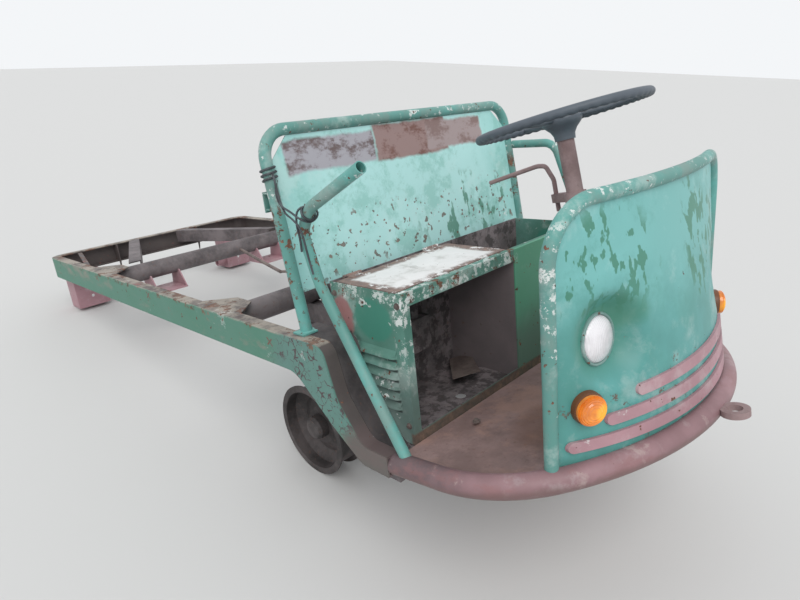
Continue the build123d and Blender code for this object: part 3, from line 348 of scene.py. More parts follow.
def board_front(paint):
    """1 on the seat back's front face and 0 on its rear one."""
    out = (paint.x - BACK_BASE_X) * math.cos(BACK_LEAN) + paint.z * math.sin(BACK_LEAN)
    return paint.step(out, -0.0006, 0.0006)


def board_marks(paint, colour):
    """A bleached middle, greener edges and dark dabs low on the right."""
    edge = paint.within(paint.y, -0.45, 0.40, 0.10, 0.25)
    colour = paint.mix(edge * 0.65, colour, (0.50, 0.79, 0.78))
    mottle = paint.step(paint.noise(7.0, 8.0, 0.75, offset=12.0), 0.47, 0.60)
    colour = paint.mix(mottle * 0.55, colour, (0.20, 0.48, 0.42))
    dab = paint.step(paint.noise(15.0, 4.0, 0.6, (1.0, 1.0, 0.45), 9.0), 0.57, 0.61)
    low = paint.near((0.0, 0.25, 0.20), (0.0, 0.26, 0.13), 0.5, 1.4)
    colour = paint.mix(dab * low * 0.8, colour, BOTTLE)
    return paint.mix((1.0 - board_front(paint)) * 0.8, colour, DULL_GREEN)


def board_patches(paint, colour, rust, halo):
    """Two torn-off coverings, a row of rust spots and a rusty hem."""
    front = board_front(paint)
    # Each patch: its middle across and up, half its width and height, and its colours
    patches = (
        (-0.320, 0.473, 0.165, 0.046, (0.38, 0.37, 0.41), (0.14, 0.10, 0.10)),
        (0.020, 0.478, 0.170, 0.056, (0.30, 0.20, 0.19), (0.17, 0.075, 0.06)),
        (0.240, 0.478, 0.150, 0.046, (0.36, 0.285, 0.285), (0.23, 0.15, 0.14)),
    )
    for middle, up, half, high, light, brown in patches:
        mottle = paint.step(paint.noise(20.0, 8.0, 0.72, (1.0, 0.6, 1.0), middle), 0.47, 0.62)
        inside = paint.within(paint.y, middle - half, middle + half, 0.006, 0.045)
        inside = inside * paint.within(paint.z, up - high, up + high, 0.006, 0.03) * front
        colour = paint.mix(inside, colour, paint.mix(mottle, light, brown))
        rust = rust * (1.0 - inside)
        halo = halo * (1.0 - inside)
    spots = paint.step(paint.noise(48.0, 2.0, 0.5, offset=6.2), 0.63, 0.65) * 0.8
    band = paint.within(paint.z, 0.12, 0.30, 0.02, 0.12)
    stray = chips(paint, 36.0, 0.70, 1.1) * 0.8
    hem = paint.within(paint.z, 0.0, 0.112, 0.006, 0.03) * chips(paint, 12.0, 0.5, 2.2)
    rust = rust.high(spots * band).high(stray).high(hem)
    halo = halo.high(chips(paint, 15.0, 0.66, 7.7) * paint.within(paint.z, 0.1, 0.35, 0.05) * 0.9)
    return colour, rust, halo


def tube_marks(paint, colour):
    """Grey dirt along the tubes."""
    dirt = paint.step(paint.noise(9.0, 7.0, 0.7, (0.6, 1.0, 0.6), 2.6), 0.44, 0.62)
    return paint.mix(dirt * 0.6, colour, (0.20, 0.27, 0.245))


def tube_chips(paint, colour, rust, halo):
    """Tubes rubbed pale on top, with long scabs of rust low down."""
    crown = paint.within(paint.z, 0.34, 0.60, 0.015) * chips(paint, 34.0, 0.59, 1.9)
    knee = paint.near((3.0, -0.46, 0.22), (0.3, 0.06, 0.12), 0.4, 1.0) * chips(paint, 38.0, 0.56, 3.3)
    scabs = paint.within(paint.z, -0.02, 0.36, 0.03) * paint.within(paint.x, 2.2, 2.5, 0.03)
    scabs = scabs * chips(paint, 17.0, 0.56, 4.1)
    halo = halo.high(crown * 0.85).high(knee * 0.85)
    return colour, rust.high(scabs), halo.high(chips(paint, 32.0, 0.68, 5.5) * 0.8)


def rail_marks(paint, colour):
    """Bottle green outside, dust on the upper flange, dark grime inside and scaly necks."""
    green = paint.mix(paint.noise(5.0, 8.0, 0.7), BOTTLE, DULL_GREEN)
    outside = paint.step(paint.y.abs(), DECK_HALF - 0.0065, DECK_HALF - 0.0015)
    rear = paint.step(paint.x, 0.0005, 0.006)
    outside = outside.high(1.0 - rear)
    inward = (paint.x - DECK_CORNER).low(0.0).power(2.0)
    aside = (paint.y.abs() - (DECK_HALF - DECK_CORNER)).high(0.0).power(2.0)
    bend = paint.step(inward + aside, (DECK_CORNER - 0.004) ** 2, (DECK_CORNER - 0.002) ** 2)
    outside = outside.high(bend * (1.0 - paint.step(paint.x, DECK_CORNER, DECK_CORNER + 0.01)))
    grime = paint.mix(paint.noise(9.0, 7.0, 0.7), (0.055, 0.048, 0.05), (0.12, 0.095, 0.088))
    colour = paint.mix(outside, grime, green)
    flange = paint.step(paint.z, -0.0045, -0.0015) * paint.step(paint.noise(11.0, 8.0, 0.7), 0.34, 0.58)
    colour = paint.mix(flange * 0.85, colour, DUST)
    streak = paint.step(paint.noise(7.0, 8.0, 0.7, (0.35, 1.0, 1.0), 3.7), 0.54, 0.66) * outside
    colour = paint.mix(streak * 0.6, colour, (0.30, 0.24, 0.21))
    right = 1.0 - paint.step(paint.y, 0.0015 - DECK_HALF, 0.010 - DECK_HALF)
    # Crossed weld beads on the right rail: each cross's place and its arms' length
    for x, z, size in ((0.752, -0.022, 0.019), (1.330, -0.022, 0.020), (2.190, -0.036, 0.018)):
        for lean in (40.0, -46.0):
            turn = math.radians(lean)
            along = ((paint.x - x) * math.cos(turn) + (paint.z - z) * math.sin(turn)).abs()
            across = ((paint.z - z) * math.cos(turn) - (paint.x - x) * math.sin(turn)).abs()
            bead = (1.0 - paint.step(along, size - 0.001, size)) * (1.0 - paint.step(across, 0.0022, 0.0034))
            colour = paint.mix(bead * right, colour, (0.16, 0.075, 0.055))
    flakes = {"Vector": paint.level, "Scale": 46.0}
    flake = paint.node("ShaderNodeTexVoronoi", {"feature": "DISTANCE_TO_EDGE"}, flakes)
    crack = 1.0 - paint.step(flake + (paint.noise(38.0, 6.0, 0.75) - 0.5) * 0.9, 0.0, 0.045)
    crack = crack * paint.step(paint.noise(10.0, 5.0, 0.6, offset=4.4), 0.40, 0.50)
    scaly = paint.near((2.40, 0.0, -0.10), (0.20, 0.0, 0.15), 0.4, 0.6) * outside
    scale = paint.mix(paint.noise(8.0, 5.0, 0.7), (0.085, 0.17, 0.145), (0.125, 0.28, 0.245))
    colour = paint.mix(scaly, colour, scale)
    colour = paint.mix(crack * scaly, colour, (0.075, 0.05, 0.055))
    low = paint.near((2.60, 0.0, -0.30), (0.13, 0.0, 0.10), 0.5, 0.8)
    return paint.mix(low * 0.85, colour, (0.12, 0.085, 0.085))


def rail_rust(paint, colour, rust, halo):
    """Red lead and rust that bleed along the edges."""
    edge = paint.within(paint.z, -0.016, 0.004, 0.005, 0.02) * chips(paint, 12.0, 0.55, 2.7)
    lead = chips(paint, 6.0, 0.63, 8.8)
    colour = paint.mix(lead * 0.55, colour, RED_LEAD)
    return colour, rust.high(edge * 0.8), halo


def box_marks(paint, colour):
    """A bottle green panel on the side, dull green louvres with painted shadow under each hood, and a bottle
    green front left.
    """
    side = paint.near((2.50, 0.0, 0.045), (0.075, 0.0, 0.06), 0.25, 0.9)
    colour = paint.mix(side * 0.9, colour, (0.045, 0.225, 0.165))
    left = paint.step(paint.y, 0.03, 0.036) * paint.step(paint.x, 2.60, 2.61)
    colour = paint.mix(left * 0.85, colour, (0.10, 0.36, 0.22))
    low = 1.0 - paint.step(paint.z + (paint.noise(9.0, 6.0, 0.7) - 0.5) * 0.1, -0.19, -0.03)
    colour = paint.mix(low * 0.6, colour, (0.115, 0.125, 0.12))
    beside = paint.within(paint.x, LOUVRE_X - LOUVRE_HALF + 0.002, LOUVRE_X + LOUVRE_HALF - 0.002, 0.004)
    beside = beside * paint.step(paint.y.abs(), BOX_HALF - 0.003, BOX_HALF - 0.001)
    # Painted shadow: a dark band on the box side just under each louvre hood's lower edge
    for row in range(LOUVRE_COUNT):
        under = LOUVRE_TOP - LOUVRE_PITCH * row - LOUVRE_HEIGHT
        hood_shadow = paint.within(paint.z, under - 0.009, under + 0.0012, 0.0016)
        colour = paint.mix(hood_shadow * beside * 0.85, colour, (0.025, 0.032, 0.03))
    return colour


def box_chips(paint, colour, rust, halo):
    """Pale chipped edges round the top and the opening, one red scab, and a dark inside."""
    inner = 1.0 - paint.step(paint.y.abs(), BOX_HALF - 0.0050, BOX_HALF - 0.0035)
    inner = inner * (1.0 - paint.step(paint.x, 2.6125, 2.6135)) * (1.0 - paint.step(paint.z, 0.1275, 0.129))
    soot = paint.mix(paint.noise(9.0, 7.0, 0.7), (0.13, 0.113, 0.12), (0.27, 0.225, 0.23))
    colour = paint.mix(inner, colour, soot)
    post = paint.within(paint.y, -0.475, -0.425, 0.006, 0.03) * paint.step(paint.x, 2.575, 2.59)
    top = paint.within(paint.z, 0.092, 0.14, 0.012, 0.05) * (1.0 - paint.step(paint.y, 0.03, 0.06))
    sill = (1.0 - paint.step(paint.z, -0.272, -0.262)) * paint.step(paint.x, 2.60, 2.61)
    edges = (post * paint.step(paint.z, -0.20, 0.10)).high(top * 0.8) * chips(paint, 26.0, 0.525, 3.9)
    scab = paint.near((2.378, 0.0, 0.030), (0.045, 0.0, 0.070), 0.25, 1.6)
    scab = scab * (1.0 - paint.step(paint.y, -0.458, -0.450)) * (1.0 - inner)
    colour = paint.mix(scab, colour, paint.mix(paint.noise(26.0, 6.0, 0.7), RED_LEAD, (0.36, 0.22, 0.23)))
    rust = rust.high(top * chips(paint, 20.0, 0.56, 5.1)).high(sill * 0.75) * (1.0 - inner * 0.6)
    return colour, rust, halo.high(edges) * (1.0 - inner)


def lid_marks(paint, colour):
    """White paint trodden grey, with dark scratches."""
    scratch = paint.step(paint.noise(14.0, 6.0, 0.7, (0.25, 1.0, 1.0), 2.0), 0.63, 0.69)
    colour = paint.mix(scratch * 0.5, colour, (0.36, 0.33, 0.31))
    stain = paint.step(paint.noise(7.0, 8.0, 0.75, offset=4.0), 0.50, 0.64)
    colour = paint.mix(stain * 0.45, colour, (0.44, 0.40, 0.37))
    return paint.mix(chips(paint, 34.0, 0.67, 8.0) * 0.8, colour, (0.20, 0.13, 0.11))


def lid_rust(paint, colour, rust, halo):
    """A rusty rim, widest at the rear and right edges."""
    rim = (1.0 - paint.within(paint.x, 2.385, 2.565, 0.012, 0.08)) * chips(paint, 18.0, 0.45, 3.0)
    side = (1.0 - paint.within(paint.y, -0.42, -0.01, 0.010, 0.07)) * chips(paint, 18.0, 0.45, 6.0)
    return colour, rust.high(rim * 0.85).high(side * 0.85), halo


def bumper_marks(paint, colour):
    """Painted shade towards the neck and on the underside, and old red bleeding through."""
    # Painted shade on the ring's rear part, towards the neck
    rear = 1.0 - paint.step(paint.x + (paint.noise(6.0, 7.0, 0.7) - 0.5) * 0.3, 2.78, 2.95)
    colour = paint.mix(rear * 0.85, colour, (0.10, 0.072, 0.078))
    lead = paint.step(paint.noise(6.0, 8.0, 0.75, (1.0, 0.6, 2.0), 3.0), 0.50, 0.60)
    colour = paint.mix(lead * 0.45, colour, (0.25, 0.115, 0.115))
    # Painted shade on the ring's underside
    depth = paint.z - paint.x * math.tan(FLOOR_FALL) + (paint.noise(5.0, 7.0, 0.7) - 0.5) * 0.05
    under = 1.0 - paint.step(depth, -0.625, -0.606)
    colour = paint.mix(under * 0.7, colour, (0.16, 0.095, 0.09))
    wipe = paint.step(paint.noise(8.0, 7.0, 0.7, offset=6.6), 0.60, 0.68)
    return paint.mix(wipe * 0.5, colour, (0.44, 0.35, 0.33))


def floor_marks(paint, colour):
    """Orange rust in the middle, dark corners and dirt by the box."""
    warm = paint.step(paint.noise(5.0, 8.0, 0.7, offset=2.0), 0.47, 0.62)
    colour = paint.mix(warm * 0.6, colour, (0.42, 0.25, 0.20))
    dark = paint.step(paint.noise(3.5, 8.0, 0.7, offset=7.0), 0.52, 0.66)
    colour = paint.mix(dark * 0.55, colour, (0.15, 0.10, 0.095))
    worn_spot = paint.near((2.90, -0.20, 0.0), (0.11, 0.14, 0.0), 0.6, 1.0)
    colour = paint.mix(worn_spot * 0.6, colour, (0.17, 0.085, 0.06))
    return paint.mix(chips(paint, 40.0, 0.70, 3.0), colour, (0.55, 0.50, 0.46))


def box_inside_dirt(paint, colour):
    """Soot and soil on the box's bottom."""
    soil = paint.step(paint.noise(26.0, 6.0, 0.7, offset=2.0), 0.46, 0.56)
    return paint.mix(soil * 0.7, colour, (0.045, 0.038, 0.038))


# Each finish: its maker, the maker's values, and the pieces of the frame that wear it
FINISHES = {
    "shield paint": (
        worn,
        dict(
            base=GREEN, shade=GREEN_SHADE, rust_at=0.71, speck_at=0.735, pale=0.7, rough=0.42,
            marks=shield_marks, scars=shield_rust,
        ),
        (),
    ),
    "lamp rim": (
        worn,
        dict(
            base=(0.30, 0.40, 0.38), shade=(0.12, 0.24, 0.22),
            rust_at=0.60, speck_at=0.62, pale=0.9, rough=0.4,
        ),
        (),
    ),
    "board paint": (
        worn,
        dict(
            base=MINT, shade=(0.30, 0.60, 0.57), rust_at=0.70, speck_at=0.725, pale=0.8, rough=0.5,
            marks=board_marks, scars=board_patches,
        ),
        (),
    ),
    "rail paint": (
        worn,
        dict(
            base=DULL_GREEN, shade=BOTTLE, rust_at=0.665, speck_at=0.69, pale=0.3, rough=0.6,
            marks=rail_marks, scars=rail_rust,
        ),
        (
            "deck_frame",
            "neck_right",
            "neck_left",
            "tube_gussets",
            "corner_strap",
            "hitch_plates",
            "box_outriggers",
        ),
    ),
    "tube paint": (
        worn,
        dict(
            base=(0.125, 0.40, 0.365), shade=(0.10, 0.27, 0.24),
            rust_at=0.655, speck_at=0.675, pale=0.9, rough=0.5,
            marks=tube_marks, scars=tube_chips,
        ),
        ("shield_rim", "arm_right", "arm_left"),
    ),
    "box paint": (
        worn,
        dict(
            base=(0.155, 0.335, 0.29), shade=(0.075, 0.20, 0.155),
            rust_at=0.66, speck_at=0.675, pale=0.9, rough=0.55,
            marks=box_marks, scars=box_chips,
        ),
        ("box_front", "box_side_right", "box_side_left", "box_partition"),
    ),
    "lid paint": (
        worn,
        dict(
            base=(0.95, 0.91, 0.92), shade=(0.82, 0.79, 0.79),
            rust_at=0.68, speck_at=0.70, pale=0.2, rough=0.5,
            marks=lid_marks, scars=lid_rust,
        ),
        ("seat_lid", "lid_hinges"),
    ),
    "bumper paint": (
        worn,
        dict(
            base=PINK, shade=PINK_SHADE, rust_at=0.68, speck_at=0.70, pale=0.5, rough=0.5,
            marks=bumper_marks,
        ),
        ("bumper_ring",),
    ),
    "rib paint": (
        worn,
        dict(
            base=(0.46, 0.265, 0.30), shade=(0.34, 0.19, 0.215),
            rust_at=0.66, speck_at=0.68, pale=0.5, rough=0.5,
        ),
        ("shield_bars", "lamp_box_right", "lamp_box_left", "axle_saddle_right", "axle_saddle_left"),
    ),
    "dark scale": (
        bare,
        dict(base=(0.18, 0.155, 0.16), shade=(0.07, 0.06, 0.063), rough=0.62),
        (
            "cross_tube_rear",
            "cross_tube_front",
            "deck_diagonal_right",
            "deck_diagonal_left",
            "inner_rails",
            "spring_hangers",
            "front_springs",
            "front_axle",
            "knuckle_right",
            "knuckle_left",
            "floor_beam",
        ),
    ),
    "wheel scale": (
        bare,
        dict(base=(0.10, 0.085, 0.085), shade=DARK_SHADE, rough=0.7),
        ("wheel_right", "wheel_left"),
    ),
    "soot": (
        bare,
        dict(
            base=(0.26, 0.22, 0.23), shade=(0.12, 0.104, 0.108), rough=0.9, scale=7.0,
            marks=box_inside_dirt,
        ),
        ("box_back", "box_floor", "inner_duct"),
    ),
    "floor rust": (
        bare,
        dict(base=(0.33, 0.225, 0.215), shade=(0.22, 0.145, 0.135), rough=0.8, scale=4.0, marks=floor_marks),
        ("floor_plate",),
    ),
    "column rust": (
        bare,
        dict(base=(0.33, 0.235, 0.235), shade=(0.20, 0.13, 0.13), rough=0.7, scale=9.0, rust=0.4),
        ("steering_column", "column_clamp", "drive_lever", "tow_eye"),
    ),
    "old steel": (
        bare,
        dict(base=(0.20, 0.16, 0.145), shade=(0.10, 0.075, 0.07), rough=0.7, scale=12.0),
        (),
    ),
    "wire sheath": (
        bare,
        dict(base=(0.075, 0.09, 0.10), shade=(0.03, 0.035, 0.04), rough=0.55, scale=20.0, rust=0.2),
        (),
    ),
    "grimy plate": (
        bare,
        dict(base=(0.085, 0.072, 0.074), shade=(0.035, 0.03, 0.032), rough=0.7, scale=8.0, rust=0.35),
        (),
    ),
}


def finish(name):
    """A finish, made the first time that something wears it."""
    maker, values, _ = FINISHES[name]
    return bpy.data.materials.get(name) or maker(name, **values)


def rubber():
    """The steering wheel's hard rubber, greyed by the weather."""
    paint = Paint("hard rubber")
    cloud = paint.noise(12.0, 6.0, 0.7)
    colour = paint.mix(cloud, (0.055, 0.068, 0.085), (0.12, 0.145, 0.175))
    return paint.finish(colour, cloud * 0.2 + 0.42, paint.noise(90.0, 4.0), depth=0.0006)


def amber():
    """The indicators' moulded amber, with a painted highlight in the middle of each lens and a faint painted
    glow.
    """
    paint = Paint("amber lens")
    cloud = paint.noise(30.0, 3.0, 0.5)
    colour = paint.mix(paint.step(cloud, 0.3, 0.7), (0.85, 0.28, 0.03), (0.58, 0.15, 0.02))
    # A painted highlight: brighter yellow round a point near the middle of each lens
    for side in (-1, 1):
        lit = (0.0, side * (INDICATOR_Y - 0.003), INDICATOR_Z - 0.003)
        middle = paint.near(lit, (0.0, 0.017, 0.017), 0.8)
        colour = paint.mix(middle * 0.8, colour, (0.95, 0.50, 0.03))
    paint.shader.inputs["Coat Weight"].default_value = 0.6
    # A faint painted glow in the amber
    paint.shader.inputs["Emission Color"].default_value = (0.9, 0.28, 0.02, 1.0)
    paint.shader.inputs["Emission Strength"].default_value = 0.12
    return paint.finish(colour, 0.2, cloud, depth=0.0008)


def moulding():
    """The indicators' seats, brown with dirt."""
    paint = Paint("indicator moulding")
    cloud = paint.noise(20.0, 5.0, 0.6)
    colour = paint.mix(cloud, (0.20, 0.06, 0.015), (0.09, 0.05, 0.03))
    return paint.finish(colour, 0.4, cloud, depth=0.0006)


def lamp_glass():
    """Fluted headlamp glass over a dull reflector."""
    paint = Paint("lamp glass")
    bands = {"Vector": paint.level, "Scale": 55.0, "Distortion": 0.4}
    flute = paint.node("ShaderNodeTexWave", {"bands_direction": "Y"}, bands)
    cloud = paint.noise(16.0, 5.0, 0.6)
    colour = paint.mix(paint.step(cloud, 0.35, 0.7), (0.82, 0.80, 0.83), (0.64, 0.62, 0.64))
    paint.shader.inputs["Coat Weight"].default_value = 0.5
    return paint.finish(colour, 0.22, flute, depth=0.0012)


# Modelling


def fresh(kind, name, **settings):
    """Add a primitive with nothing else selected, and name it."""
    bpy.ops.object.select_all(action="DESELECT")
    getattr(bpy.ops.mesh, "primitive_" + kind + "_add")(**settings)
    piece = bpy.context.object
    piece.name = name
    return piece


def modify(piece, kind, **settings):
    """Put a modifier on a piece and apply it."""
    bpy.context.view_layer.objects.active = piece
    bpy.ops.object.modifier_add(type=kind)
    modifier = piece.modifiers[-1]
    for name, value in settings.items():
        setattr(modifier, name, value)
    bpy.ops.object.modifier_apply(modifier=modifier.name)


def bake_place(piece, matrix=None):
    """Move a piece's place into its mesh, after an extra turn or shift."""
    piece.data.transform((matrix or Matrix.Identity(4)) @ piece.matrix_basis)
    piece.matrix_basis = Matrix.Identity(4)


def welded(name, parts):
    """Join parts into one piece."""
    bpy.ops.object.select_all(action="DESELECT")
    for part in parts:
        part.select_set(True)
    bpy.context.view_layer.objects.active = parts[0]
    bpy.ops.object.join()
    parts[0].name = name
    return parts[0]


def fit(piece, material, body="chassis", nodes=(), angle=40.0):
    """Finish a piece that was drawn on the level truck: stand it, smooth it, paint it and carry it."""
    bake_place(piece)
    bpy.ops.object.select_all(action="DESELECT")
    piece.select_set(True)
    bpy.context.view_layer.objects.active = piece
    bpy.ops.object.mode_set(mode="EDIT")
    bpy.ops.mesh.select_all(action="SELECT")
    bpy.ops.mesh.normals_make_consistent(inside=False)
    bpy.ops.object.mode_set(mode="OBJECT")
    piece.data.transform(Matrix.Translation(SHIFT) @ STAND.to_4x4())
    bpy.ops.object.shade_smooth_by_angle(angle=math.radians(angle))
    wear(piece, material)
    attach(piece, body)
    if nodes:
        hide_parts(*nodes)
    return piece


def wear(piece, material):
    """Give a piece one finish."""
    piece.data.materials.clear()
    piece.data.materials.append(material)


def sheet_metal(name, columns, rows, place, wall, shift=-1.0):
    """A pressed sheet: a grid whose points go where place(s, t) says, with s and t from -1 to 1."""
    piece = fresh("grid", name, x_subdivisions=columns, y_subdivisions=rows, size=2.0)
    for vertex in piece.data.vertices:
        vertex.co = place(vertex.co.x, vertex.co.y)
    modify(piece, "SOLIDIFY", thickness=wall, offset=shift)
    return piece


def turned(name, profile, origin, axis, segments=48):
    """A piece turned about an axis: a disc drawn out step by step through (radius, height) pairs."""
    radius, height = profile[0]
    start = (0, 0, height)
    piece = fresh("circle", name, vertices=segments, radius=radius, location=start, fill_type="NGON")
    bpy.ops.object.mode_set(mode="EDIT")
    bpy.ops.mesh.select_all(action="SELECT")
    for (last, low), (radius, height) in zip(profile, profile[1:]):
        bpy.ops.mesh.extrude_region_move(TRANSFORM_OT_translate={"value": (0, 0, height - low)})
        bpy.ops.transform.resize(value=(radius / last, radius / last, 1))
    bpy.ops.object.mode_set(mode="OBJECT")
    bake_place(piece, Matrix.Translation(origin) @ Vector(axis).to_track_quat("Z", "Y").to_matrix().to_4x4())
    return piece


def rounded(points, radii, steps):
    """A path's points with an arc of its own radius at each inner corner."""
    points = [Vector(point) for point in points]
    path = [points[0]]
    for before, corner, after, radius in zip(points, points[1:], points[2:], radii):
        inward = (before - corner).normalized()
        outward = (after - corner).normalized()
        half = inward.angle(outward) / 2
        reach = radius / math.tan(half)
        centre = corner + (inward + outward).normalized() * radius / math.sin(half)
        start = corner + inward * reach - centre
        end = corner + outward * reach - centre
        path += [centre + start.slerp(end, step / steps) * radius for step in range(steps + 1)]
    return path + [points[-1]]


def tube(name, path, radius, rounding=3, kind="POLY"):
    """A round tube along a path of level places, capped at its ends."""
    bpy.ops.object.select_all(action="DESELECT")
    line = bpy.data.curves.new(name, "CURVE")
    line.dimensions = "3D"
    line.bevel_depth = radius
    line.bevel_resolution = rounding
    line.resolution_u = 4
    line.use_fill_caps = True
    run = line.splines.new(kind)
    run.points.add(len(path) - 1)
    for point, place in zip(run.points, path):
        point.co = (*place, 1.0)
    if kind == "NURBS":
        run.order_u = 3
        run.use_endpoint_u = True
    piece = bpy.data.objects.new(name, line)
    bpy.context.collection.objects.link(piece)
    piece.select_set(True)
    bpy.context.view_layer.objects.active = piece
    bpy.ops.object.convert(target="MESH")
    return bpy.context.object


def wire(name, points, radius):
    """A thin wire that runs smoothly past its points."""
    return tube(name, points, radius, 1, "NURBS")


def torus(name, radius, rod, segments, sides=8):
    """A ring of round rod, flat at its own middle."""
    return fresh(
        "torus", name, major_radius=radius, minor_radius=rod, major_segments=segments, minor_segments=sides
    )


def slab(size, place):
    """A small plate, to be welded to other parts."""
    piece = fresh("cube", "slab", size=1.0)
    piece.scale = size
    bake_place(piece, Matrix.Translation(place))
    return piece


def bowed(nose, y):
    """Where an arc of (nose, radius) has fallen back to, at y from the middle."""
    place, radius = nose
    return place - radius + math.sqrt(radius * radius - y * y)


def shield_x(y, z):
    """Where the shield's outer face lies at y and z: it is ruled between its lower and upper arc."""
    rise = (z - SHIELD_FOOT) / (SHIELD_TOP - SHIELD_FOOT)
    return bowed(SHIELD_LOW, y) * (1.0 - rise) + bowed(SHIELD_HIGH, y) * rise


def lamp_place(side):
    """A headlamp's middle and the way it looks, right for -1 and left for 1."""
    level = math.cos(LAMP_PITCH)
    look = Vector((level * math.cos(LAMP_YAW), side * level * math.sin(LAMP_YAW), math.sin(LAMP_PITCH)))
    return Vector((LAMP_X, side * LAMP_Y, LAMP_Z)), look


def smooth_step(value):
    """A smooth rise from 0 to 1."""
    value = min(1.0, max(0.0, value))
    return value * value * (3.0 - 2.0 * value)


class TRUCK_OT_shield(bpy.types.Operator):
    """Front shield: a bowed sheet with a dish pressed in round each headlamp"""

    bl_idname = "truck.shield"
    bl_label = "Front shield"

    def execute(self, context):
        flare = context.scene.truck_fittings.dish_flare
        lamps = [lamp_place(-1), lamp_place(1)]

        def place(s, t):
            z = SHIELD_FOOT + (t + 1.0) / 2.0 * (SHIELD_TOP - SHIELD_FOOT)
            over = max(0.0, z - SHIELD_TOP + SHIELD_CORNER)
            half = SHIELD_HALF - SHIELD_CORNER + math.sqrt(SHIELD_CORNER**2 - over**2)
            y = s * half
            x = shield_x(y, z) + 0.0016 * (noise.noise(Vector((y * 5.0, z * 5.0, 1.0))) - 0.4)
            middle, look = lamps[y > 0]
            depth = middle.x - ((y - middle.y) * look.y + (z - middle.z) * look.z) / look.x
            far = (Vector((depth, y, z)) - middle).length
            share = 1.0 - smooth_step((far - BOWL_RADIUS) / flare)
            return Vector((x + (min(depth, x) - x) * share, y, z))

        skin = sheet_metal("shield_skin", 150, 100, place, 0.003)
        fit(skin, finish("shield paint"), nodes=("shield_panel",))
        return {"FINISHED"}


# Turned outlines, as (radius, height) from a lamp's seat outwards
GLASS_OUTLINE = (
    (0.0525, 0.0),
    (0.0525, 0.003),
    (0.049, 0.008),
    (0.041, 0.0125),
    (0.029, 0.0165),
    (0.014, 0.0188),
    (0.002, 0.0195),
)
RIM_OUTLINE = (
    (0.030, -0.042),
    (0.046, -0.034),
    (0.0555, -0.018),
    (0.0595, -0.003),
    (0.0600, 0.003),
    (0.0580, 0.0065),
    (0.0555, 0.0068),
    (0.0532, 0.0045),
    (0.0528, -0.002),
)
SEAT_OUTLINE = ((0.038, -0.012), (0.038, 0.008), (0.036, 0.0125), (0.0335, 0.0135))
LENS_LIFT = 0.0135


def lens_outline():
    """An indicator lens: a short straight foot and a dome of moulded steps."""
    outline = [(0.0345, 0.0), (0.0350, 0.006)]
    for ring in range(6):
        angle = math.radians(12.0 * ring + 6.0)
        radius = 0.035 * math.cos(angle)
        height = 0.006 + 0.0135 * math.sin(angle) / math.sin(math.radians(66.0))
        outline += [(radius, height), (radius - 0.0024, height - 0.0006)]
    return outline + [(0.002, 0.0206)]


class TRUCK_OT_lamps(bpy.types.Operator):
    """Headlamp glasses with their rims, and domed amber indicators"""

    bl_idname = "truck.lamps"
    bl_label = "Lamps"

    def execute(self, context):
        glasses, rims, lenses, seats = [], [], [], []
        for side in (-1, 1):
            middle, look = lamp_place(side)
            glasses.append(turned("glass", GLASS_OUTLINE, middle, look))
            rims.append(turned("rim", RIM_OUTLINE, middle, look))
            y = side * INDICATOR_Y
            face = Vector((shield_x(y, INDICATOR_Z), y, INDICATOR_Z))
            look = Vector((math.cos(INDICATOR_YAW), side * math.sin(INDICATOR_YAW), 0.0))
            lenses.append(turned("lens", lens_outline(), face + look * LENS_LIFT, look))
            seats.append(turned("seat", SEAT_OUTLINE, face, look))
        glass = welded("headlamp_lenses", glasses)
        fit(glass, lamp_glass(), nodes=("headlamp_glasses",), angle=60.0)
        rim = welded("headlamp_rims", rims)
        fit(rim, finish("lamp rim"), nodes=("headlamp_bowls",), angle=60.0)
        dome = welded("indicator_domes", lenses)
        fit(dome, amber(), nodes=("indicator_lenses",), angle=20.0)
        seat = welded("indicator_seats", seats)
        fit(seat, moulding(), nodes=("indicator_bases",))
        return {"FINISHED"}


def on_back(across, up, out=0.0):
    """A place on the seat back, out towards the front."""
    sine, cosine = math.sin(BACK_LEAN), math.cos(BACK_LEAN)
    return Vector((BACK_BASE_X - up * sine + out * cosine, across, up * cosine + out * sine))


class TRUCK_OT_back(bpy.types.Operator):
    """Seat back: a clipped sheet in a bent tube, with collars at its feet and one rear bracket"""

    bl_idname = "truck.back"
    bl_label = "Seat back"

    def execute(self, context):
        gap = 0.0003
        half = BACK_HALF - BACK_ROD - gap
        foot = context.scene.truck_fittings.board_foot
        top = BACK_HEIGHT - BACK_ROD - gap
        clip = 0.062

        def place(s, t):
            up = foot + (t + 1.0) / 2.0 * (top - foot)
            side = half - max(0.0, up - (top - clip))
            across = s * side
            dent = 0.0012 * noise.noise(Vector((across * 6.0, up * 6.0, 4.0)))
            return on_back(across, up, 0.002 + dent)

        board = sheet_metal("back_sheet", 72, 40, place, 0.004)
        fit(board, finish("board paint"), nodes=("back_board",))
        corners = [(-BACK_HALF, 0.0), (-BACK_HALF, BACK_HEIGHT), (BACK_HALF, BACK_HEIGHT), (BACK_HALF, 0.0)]
        path = rounded([on_back(across, up) for across, up in corners], (0.078, 0.078), 10)
        parts = [tube("hoop", path, BACK_ROD, 4)]
        for side in (-1, 1):
            collar = torus("collar", 0.0185, 0.0055, 24)
            bake_place(collar, Matrix.Translation((BACK_BASE_X, side * BACK_HALF, 0.003)))
            parts.append(collar)
            parts.append(slab((0.050, 0.050, 0.005), (BACK_BASE_X, side * (BACK_HALF + 0.005), 0.003)))
        for up in (0.352, 0.396):
            parts.append(slab((0.040, 0.020, 0.004), on_back(-BACK_HALF, up, -0.020)))
        parts.append(slab((0.004, 0.022, 0.056), on_back(-BACK_HALF, 0.374, -0.040)))
        fit(welded("back_hoop", parts), finish("tube paint"), nodes=("back_frame",))
        return {"FINISHED"}


def cab_floor(x):
    """The cab floor's height, level, at x."""
    return FLOOR_Z - (FLOOR_X - x) * math.tan(FLOOR_FALL)


def box_bottom(x):
    """The height of the seat box's sloping bottom, level, at x."""
    return -0.290 + (x - 2.35) * 0.16


